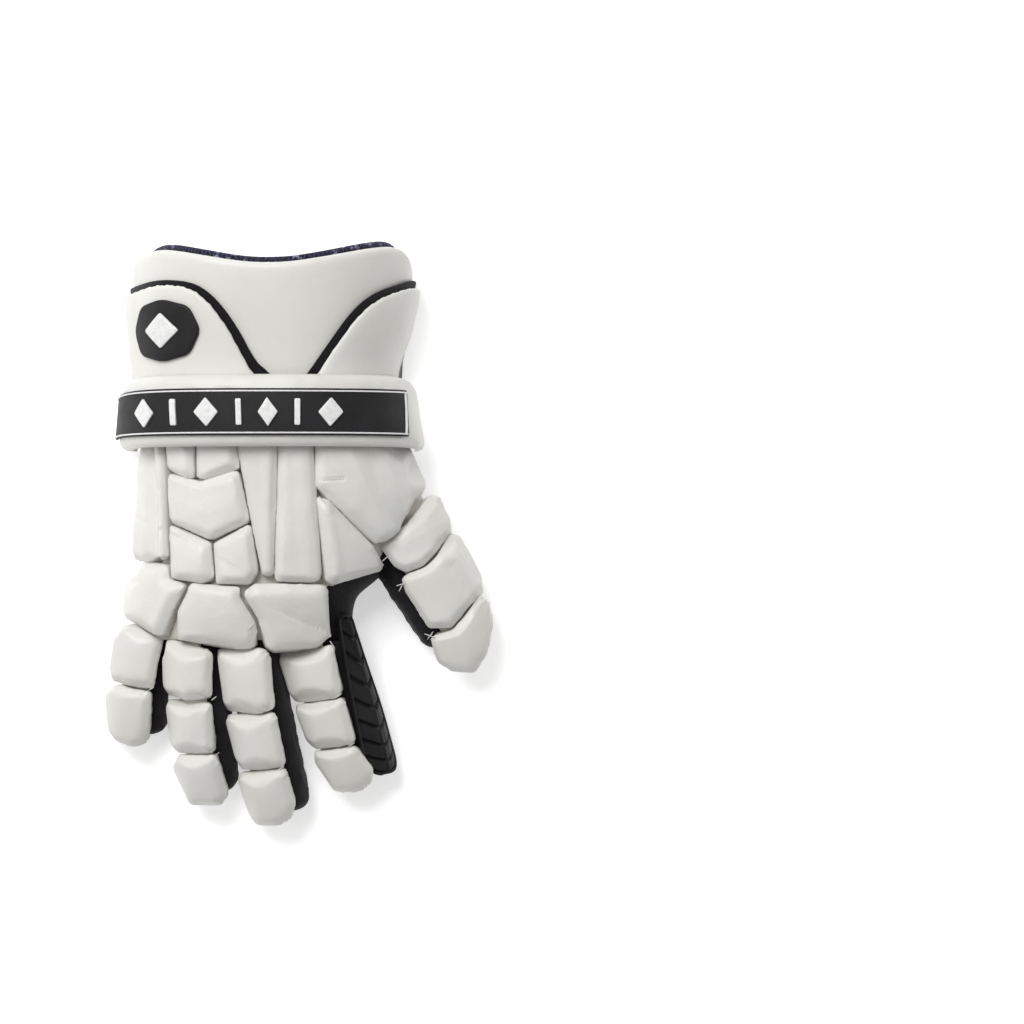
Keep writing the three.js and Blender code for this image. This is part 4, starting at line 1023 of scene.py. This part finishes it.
def make_roll():
    """The padded band: its profile runs over the skin from edge to edge and back along the inside. Its
    thumb end is tucked in, and the leather ripples where the strap leaves it free."""
    turns = np.linspace(-ROLL["reach"], ROLL["reach"], 240)[:, None]
    edge = 0.5 - 0.5 * np.cos(np.linspace(0, math.pi, 60))
    share = np.concatenate([edge, np.linspace(1, 0, 20)[1:-1]])
    skin = np.arange(len(share)) < len(edge)
    y = roll_place(turns, share)
    end = quarter_round((ROLL["reach"] - np.abs(turns)) / 0.05, 0.02)
    tuck = smoothstep(0.72, 1.0, turns) * (4.5 * (1 - share) - 3 * share ** 2)
    height = ROLL["inner"] + (roll_skin(share) - tuck) * skin * end
    free = skin & ((share <= STRAP["low"] - 0.02) | (share >= STRAP["high"] + 0.02))
    rings = on_arch(turns, y, height)
    ripple = waves(rings * np.array([1, 0.35, 1]), 13, 21, 2) * 0.28 * free
    add_padded("wrist_roll", on_arch(turns, y, height + ripple))


def laid_on_roll(name, turns, share, raised):
    """A skin over sections laid on the roll: each point at a turn, a share of the roll and a height."""
    height = roll_height(share) + raised
    return capped_loft(name, on_arch(upright(turns, share), roll_place(turns, share), height))


def band_on_roll(name, low, high, start, end, seat, thickness, rows, bevel):
    """A flat band on the roll with rounded edges: a superellipse section between two shares of the roll."""
    angle = circle(rows)
    share = (low + high) / 2 + (high - low) / 2 * signed_power(np.cos(angle), bevel)
    raised = seat + thickness * (1 + signed_power(np.sin(angle), 0.5)) / 2
    return laid_on_roll(name, np.linspace(start, end, 180)[:, None], share, raised)


def line_across_roll(name, turn, width, low, high, seat, thickness):
    """A raised line across the roll at a turn: a flattened round section carried along the share."""
    angle = circle(14)
    raised = seat + thickness * (1 + np.sin(angle)) / 2
    return laid_on_roll(name, turn + width / 2 * np.cos(angle), np.linspace(low, high, 60)[:, None], raised)


LINE_EDGES = {"strap_line_lower": (0.175, 0.197), "strap_line_upper": (0.752, 0.774)}
LINE = dict(thickness=0.9, sunk=0.3, margin=0.01, end_margin=0.02, end_width=0.016, end_low=0.18, end_high=0.77)


def make_strap():
    mesh = band_on_roll("wrist_strap_rubber", STRAP["low"], STRAP["high"], STRAP["start"], STRAP["end"],
                        STRAP["seat"], STRAP["thickness"], 90, 0.06)
    add_piece("wrist_strap_rubber", mesh, RUBBER, "rubber", "wrist_strap")
    seat = STRAP["seat"] + STRAP["thickness"] - LINE["sunk"]
    start, end = STRAP["start"] + LINE["margin"], STRAP["end"] - LINE["margin"]
    for name, (low, high) in LINE_EDGES.items():
        mesh = band_on_roll(f"{name}_ink", low, high, start, end, seat, LINE["thickness"], 16, 0.5)
        add_piece(f"{name}_ink", mesh, PRINT, "print", name)
    mesh = line_across_roll("strap_line_end_ink", STRAP["end"] - LINE["end_margin"], LINE["end_width"],
                            LINE["end_low"], LINE["end_high"], seat, LINE["thickness"])
    add_piece("strap_line_end_ink", mesh, PRINT, "print")


def turn_after(start, y, raised, length):
    """The turn that lies a length round the arch from a start turn, walked in small steps both ways."""
    turns = start + np.linspace(-1.4, 1.4, 1399)
    steps = np.linalg.norm(np.diff(on_arch(turns, y, raised), axis=0), axis=1)
    run = np.concatenate([[0], np.cumsum(steps)])
    return np.interp(length, run - run[len(steps) // 2], turns)


def polygon_rings(outline, insets, corner):
    """An outline with rounded corners, drawn in towards its middle by each inset share."""
    corners = np.array(outline, float)
    middle = corners.mean(axis=0)
    size = np.hypot(*(corners - middle).T).mean()
    t = np.linspace(0, 1, 6)[:, None]
    back, front = (corners + corner * size * unit(np.roll(corners, way, axis=0) - corners) for way in (1, -1))
    back, bend, front = back[:, None], corners[:, None], front[:, None]
    arcs = (1 - t) ** 2 * back + 2 * t * (1 - t) * bend + t ** 2 * front
    side = np.linspace(0, 1, 7)[1:-1, None]
    sides = front * (1 - side) + np.roll(back, -1, axis=0) * side
    loop = np.concatenate([arcs, sides], axis=1).reshape(-1, 2)
    return middle + (loop - middle) * (1 - np.array(insets)[:, None, None])


def figure_mesh(name, outline, start_turn, y, base, thickness, bevel=0.6, corner=0.12):
    """A small raised figure laid round the arch over a base height: straight sides, a bevelled edge and
    a flat top."""
    edge = bevel / np.hypot(*np.array(outline, float).T).mean()
    insets = [0.5, 0.0, 0.0, 0.0, edge * 0.4, edge, 0.45, 0.8]
    heights = thickness * np.array([0, 0, 0.5, 0.75, 0.93, 1, 1, 1])[:, None]
    flat = polygon_rings(outline, insets, corner)
    x = on_arch(turn_after(start_turn, y, base(y), flat[..., 0]), y, base(y))[..., 0]
    place_y = y + flat[..., 1]
    seat = base(place_y)
    return capped_loft(name, on_arch(turn_at(x, place_y, seat), place_y, seat + heights))


LOZENGE = [(0, 8.2), (7.4, 0), (0, -8.2), (-7.4, 0)]
BAR = [(-1.8, 7.4), (1.8, 7.4), (1.8, -7.4), (-1.8, -7.4)]
MOTIF_COUNT = 7
MOTIF_SPACING = 20
MOTIF_THICKNESS = 1.6
MOTIF_SUNK = 0.2
PLAQUE = [(-24, 0), (-17, 13.5), (0, 17.5), (17, 13.5), (24, 0), (17, -13.5), (0, -17.5), (-17, -13.5)]
PLAQUE_LOZENGE = [(0, 10), (12, 0), (0, -10), (-12, 0)]
PLAQUE_TURN = -0.5
PLAQUE_PLACE = 34.6
PLAQUE_SEAT = 0.3
PLAQUE_TOP = 2.7


def make_motifs():
    """Lozenges and bars in turn along the strap, midway between its lines."""
    middle = (LINE_EDGES["strap_line_lower"][1] + LINE_EDGES["strap_line_upper"][0]) / 2
    strap_y = ROLL_LOW + (ROLL_HIGH - ROLL_LOW) * middle
    proud = STRAP["seat"] + STRAP["thickness"] - MOTIF_SUNK
    centre = (STRAP["start"] + STRAP["end"]) / 2
    for k in range(MOTIF_COUNT):
        kind, outline = ("bar", BAR) if k % 2 else ("lozenge", LOZENGE)
        name = f"strap_{kind}_{k // 2 + 1}"
        at = (k - MOTIF_COUNT // 2) * MOTIF_SPACING
        turn = turn_after(centre, strap_y, roll_height(middle) + proud, at)
        drop = strap_y - roll_place(turn, middle)
        seat = lambda y: roll_height((y + drop - ROLL_LOW) / (ROLL_HIGH - ROLL_LOW)) + proud
        mesh = figure_mesh(f"{name}_ink", outline, turn, strap_y - drop, seat, MOTIF_THICKNESS)
        add_piece(f"{name}_ink", mesh, PRINT, "print", name)


def make_plaque():
    """A plain eight-sided plaque on the leather face, with a lozenge raised on it."""
    y = along_mm(PLAQUE_PLACE)
    seat = lambda y: LEATHER_FACE["outer"] + PLAQUE_SEAT + 0 * y
    mesh = figure_mesh("cuff_plaque_rubber", PLAQUE, PLAQUE_TURN, y, seat, 2.6, 1.4, 0.2)
    add_piece("cuff_plaque_rubber", mesh, RUBBER, "rubber", "cuff_plaque")
    top = lambda y: LEATHER_FACE["outer"] + PLAQUE_TOP + 0 * y
    mesh = figure_mesh("plaque_lozenge_ink", PLAQUE_LOZENGE, PLAQUE_TURN, y, top, 1.3, 0.8)
    add_piece("plaque_lozenge_ink", mesh, PRINT, "print", "plaque_lozenge")


make_layers()
make_roll()
make_strap()
make_motifs()
make_plaque()


# Stitches and thread ends

THREAD_SIDES = 6
THREAD_STEPS = 7
SEAM_STITCHES = 7
RIM_STITCHES = dict(reach=0.84, count=76, width=0.005, low=0.5, high=2.7, raised=-0.75)
# Thread ends on the pads, from and to, in percent of the width and length
THREAD_ENDS = [
    ((18.4, -2.2), (20.0, -3.4)), ((20.0, -3.6), (21.8, -5.3)), ((21.3, -4.5), (22.8, -3.6)),
    ((24.8, -8.7), (27.4, -8.2)), ((25.5, -9.7), (26.6, -8.3)), ((32.0, -16.9), (35.0, -17.6)),
    ((32.8, -17.9), (34.3, -16.5)), ((5.4, 6.6), (7.2, 5.4)), ((7.9, -18.0), (9.3, -19.4)),
    ((-22.4, -28.2), (-21.0, -27.5)), ((-22.0, -37.9), (-20.6, -37.2)), ((-8.2, -30.0), (-6.3, -29.3)),
    ((-5.6, -40.2), (-3.8, -39.5)), ((9.2, -27.8), (11.0, -27.0)), ((12.4, -36.3), (14.2, -35.5)),
    ((-38.8, -26.6), (-37.3, -26.0)), ((-12.9, -16.2), (-11.2, -15.0)), ((-30.2, -9.6), (-28.8, -8.6)),
]


def threads_mesh(name, starts, ends, rise, radius):
    """Short threads in one mesh: each a six-sided tube that thins at both ends, along a low arc whose
    height is the rise times four times the share gone and the share left."""
    share = np.linspace(0, 1, THREAD_STEPS)
    path = starts[:, None] + (ends - starts)[:, None] * share[:, None]
    path[..., 2] += rise * 4 * share * (1 - share)
    way = unit(ends - starts)
    side = unit(np.cross(way, [0, 0, 1]))[:, None]
    lift = np.cross(side, way[:, None])
    angle = circle(THREAD_SIDES)[:, None]
    thin = radius * np.sqrt(1 - 0.9 * (2 * share - 1) ** 6)[:, None, None]
    section = np.cos(angle) * side + np.sin(angle) * lift
    vertices = path[:, :, None] + thin * section[:, None]
    step = THREAD_STEPS * THREAD_SIDES
    first = (np.arange(len(starts)) * step)[:, None, None]
    quads = (grid_quads(THREAD_STEPS, THREAD_SIDES)[None] + first).reshape(-1, 4)
    fan = np.array([(0, k + 1, k) for k in range(1, THREAD_SIDES - 1)])
    far = fan[:, ::-1] + step - THREAD_SIDES
    caps = (np.concatenate([fan, far])[None] + first).reshape(-1, 3)
    return new_mesh(name, place(vertices.reshape(-1, 3)), quads, caps)


def make_rim_stitches():
    """A zigzag of navy stitches along the lining where it stands up out of the plate's rim."""
    turns = np.linspace(-RIM_STITCHES["reach"], RIM_STITCHES["reach"], RIM_STITCHES["count"])
    rim = edge_height(RIM, PLATE["outer"], turns)
    width = RIM_STITCHES["width"] * np.where(np.arange(len(turns)) % 2, 1, -1)
    starts = on_arch(turns - width, rim + RIM_STITCHES["low"], RIM_STITCHES["raised"])
    ends = on_arch(turns + width, rim + RIM_STITCHES["high"], RIM_STITCHES["raised"])
    add_piece("rim_stitches", threads_mesh("rim_stitches", starts, ends, 0.35, 0.24), NAVY_THREAD, "lining")


def make_thread_ends():
    """Loose ends and one short seam, each laid on the highest pad skin below it."""
    pads = np.concatenate([read_points(bpy.data.objects[f"{name}_cover"].data) for name in PADS])
    pads = (pads - SHIFT) / MM
    seam = np.linspace([6.6, 9.35], [11.4, 9.55], SEAM_STITCHES)
    spots = np.concatenate([np.array(THREAD_ENDS), np.stack([seam, seam + [0.42, 0.02]], axis=1)])
    flat = np.stack([across_mm(spots[..., 0]), along_mm(spots[..., 1])], axis=-1).reshape(-1, 2)
    gap = np.hypot(pads[:, 0] - flat[:, :1], pads[:, 1] - flat[:, 1:])
    near = np.maximum(1.0, gap.min(axis=1, keepdims=True) + 0.4)
    height = np.where(gap < near, pads[:, 2], 0).max(axis=1)
    ends = np.concatenate([flat, height[:, None]], axis=1).reshape(-1, 2, 3)
    mesh = threads_mesh("thread_ends", ends[:, 0], ends[:, 1], 0.5, 0.28)
    add_piece("thread_ends", mesh, WHITE_THREAD, "leather")


make_rim_stitches()
make_thread_ends()


# The guard on the index finger

GUARD = dict(start=-0.22, end=0.99, low=0.15, high=1.12, seat=0.9, edge=1.4, thickness=1.6, bulge=2.6,
             rim=1.8, ridge=0.12, ribs=8.6, slant=0.5)


def over_hand(places, raised):
    """Lifts what runs up past the finger's root so that it stays on the hand's arch."""
    x, y, z = np.moveaxis(places, -1, 0)
    share = smoothstep(-0.5, 3.0, y - along_mm(KNUCKLE_END))
    return lifted(places, np.maximum(0, (arch_height(x, y) + raised - 0.4 - z) * share))


def make_guard():
    """A rubber strip along the finger, widest in the middle and rounded at both ends: height is a
    rim near its outline, a lengthwise ridge and chevron ribs parted by narrow grooves. Its outer
    side bulges outwards towards the fingertip."""
    at, across = np.linspace(0, 1, 190)[:, None], np.linspace(-1, 1, 61)
    width = quarter_round(at / 0.07, 0.02) * quarter_round((1 - at) / 0.14, 0.005)
    low, high = GUARD["low"] + 0.3 * (1 - at) ** 2, GUARD["high"] - 0.2 * (1 - at)
    turn = (high + low) / 2 + (high - low) / 2 * width * across
    along = GUARD["start"] + (GUARD["end"] - GUARD["start"]) * at
    edge_gap = np.minimum((1 - np.abs(across)) * width, np.minimum(at, 1 - at) * 6)
    rim = smoothstep(0.0, 0.05, edge_gap) * (1 - smoothstep(0.12, 0.2, edge_gap))
    aside = np.abs(across - GUARD["ridge"])
    phase = at * GUARD["ribs"] + GUARD["slant"] * aside
    groove = 1 - smoothstep(0.05, 0.13, np.abs((phase % 1) - 0.5))
    spine = 1 - smoothstep(0.02, 0.09, aside)
    rib = smoothstep(0.14, 0.24, edge_gap) * (1.1 - 2.2 * groove * (1 - spine) + 0.6 * spine - 0.6 * aside)
    bulge = GUARD["bulge"] * smoothstep(0.1, 0.6, at) * smoothstep(-0.6, 0.6, across)
    height = GUARD["edge"] + (GUARD["thickness"] + bulge) * smoothstep(0.0, 0.08, edge_gap)
    height = height + GUARD["rim"] * rim + rib
    core = CORES["index"]
    outer = over_hand(core.surface(turn, along, height), height)
    inner = over_hand(core.surface(turn[:, ::-1], along, GUARD["seat"]), GUARD["seat"])
    mesh = capped_loft("finger_guard_rubber", np.concatenate([outer, inner], axis=1))
    add_piece("finger_guard_rubber", mesh, RUBBER, "rubber", "finger_guard")


make_guard()


# Floor, light and camera

PHOTO_SIZE = 1024
PHOTO_SCALE = 0.563
GLOVE_MIDDLE_X = 299
GLOVE_MIDDLE_Y = 535
CAMERA_HEIGHT = 3.0
VIEW_PLANE = 45.0
FLOOR_SIZE = 4.0
FLOOR_DROP = 0.4
WORLD_LIGHT = 0.3


def make_stage():
    corners = [(x * FLOOR_SIZE, y * FLOOR_SIZE, 0) for x, y in ((-1, -1), (1, -1), (1, 1), (-1, 1))]
    mesh = bpy.data.meshes.new("floor")
    mesh.from_pydata(corners, [], [(0, 1, 2, 3)])
    floor = link_new("floor", mesh)
    floor.location.z = -FLOOR_DROP * MM
    paper = Finish("white_paper", (0.93, 0.93, 0.93), 0.9, Emission_Color=(1, 1, 1, 1), Emission_Strength=0.5)
    paper.bump(paper.noise(500, 2), 0.0001, 0.2)
    mesh.materials.append(paper.material)


def add_light(name, spot, size, power):
    """A square area light that faces the glove."""
    data = bpy.data.lights.new(name, "AREA")
    data.size, data.energy = size, power
    light = link_new(name, data)
    light.location = spot
    light.rotation_euler = (-Vector(spot)).to_track_quat("-Z", "Y").to_euler()


def make_lights():
    world = bpy.data.worlds.new("studio")
    world.use_nodes = True
    background = world.node_tree.nodes["Background"].inputs
    background["Color"].default_value = (1, 1, 1, 1)
    background["Strength"].default_value = WORLD_LIGHT
    bpy.context.scene.world = world
    add_light("top_box", (-0.45, 0.75, 1.4), 0.8, 20)
    add_light("left_box", (-1.4, 0.15, 0.85), 0.8, 3)
    add_light("right_box", (1.4, 0.3, 1.2), 0.9, 2)
    bpy.context.scene.view_settings.view_transform = "Standard"


def make_camera():
    """Straight above, its middle where the photograph's middle lies beside the glove."""
    data = bpy.data.cameras.new("camera")
    data.sensor_width = 36
    data.lens = CAMERA_HEIGHT * data.sensor_width / (PHOTO_SIZE * PHOTO_SCALE * MM)
    data.clip_end = 20
    camera = link_new("camera", data)
    middle = PHOTO_SIZE / 2
    camera.location = (
        (middle - GLOVE_MIDDLE_X) * PHOTO_SCALE * MM + SHIFT[0],
        (GLOVE_MIDDLE_Y - middle) * PHOTO_SCALE * MM + SHIFT[1],
        CAMERA_HEIGHT + VIEW_PLANE * MM,
    )
    bpy.context.scene.camera = camera


make_stage()
make_lights()
make_camera()
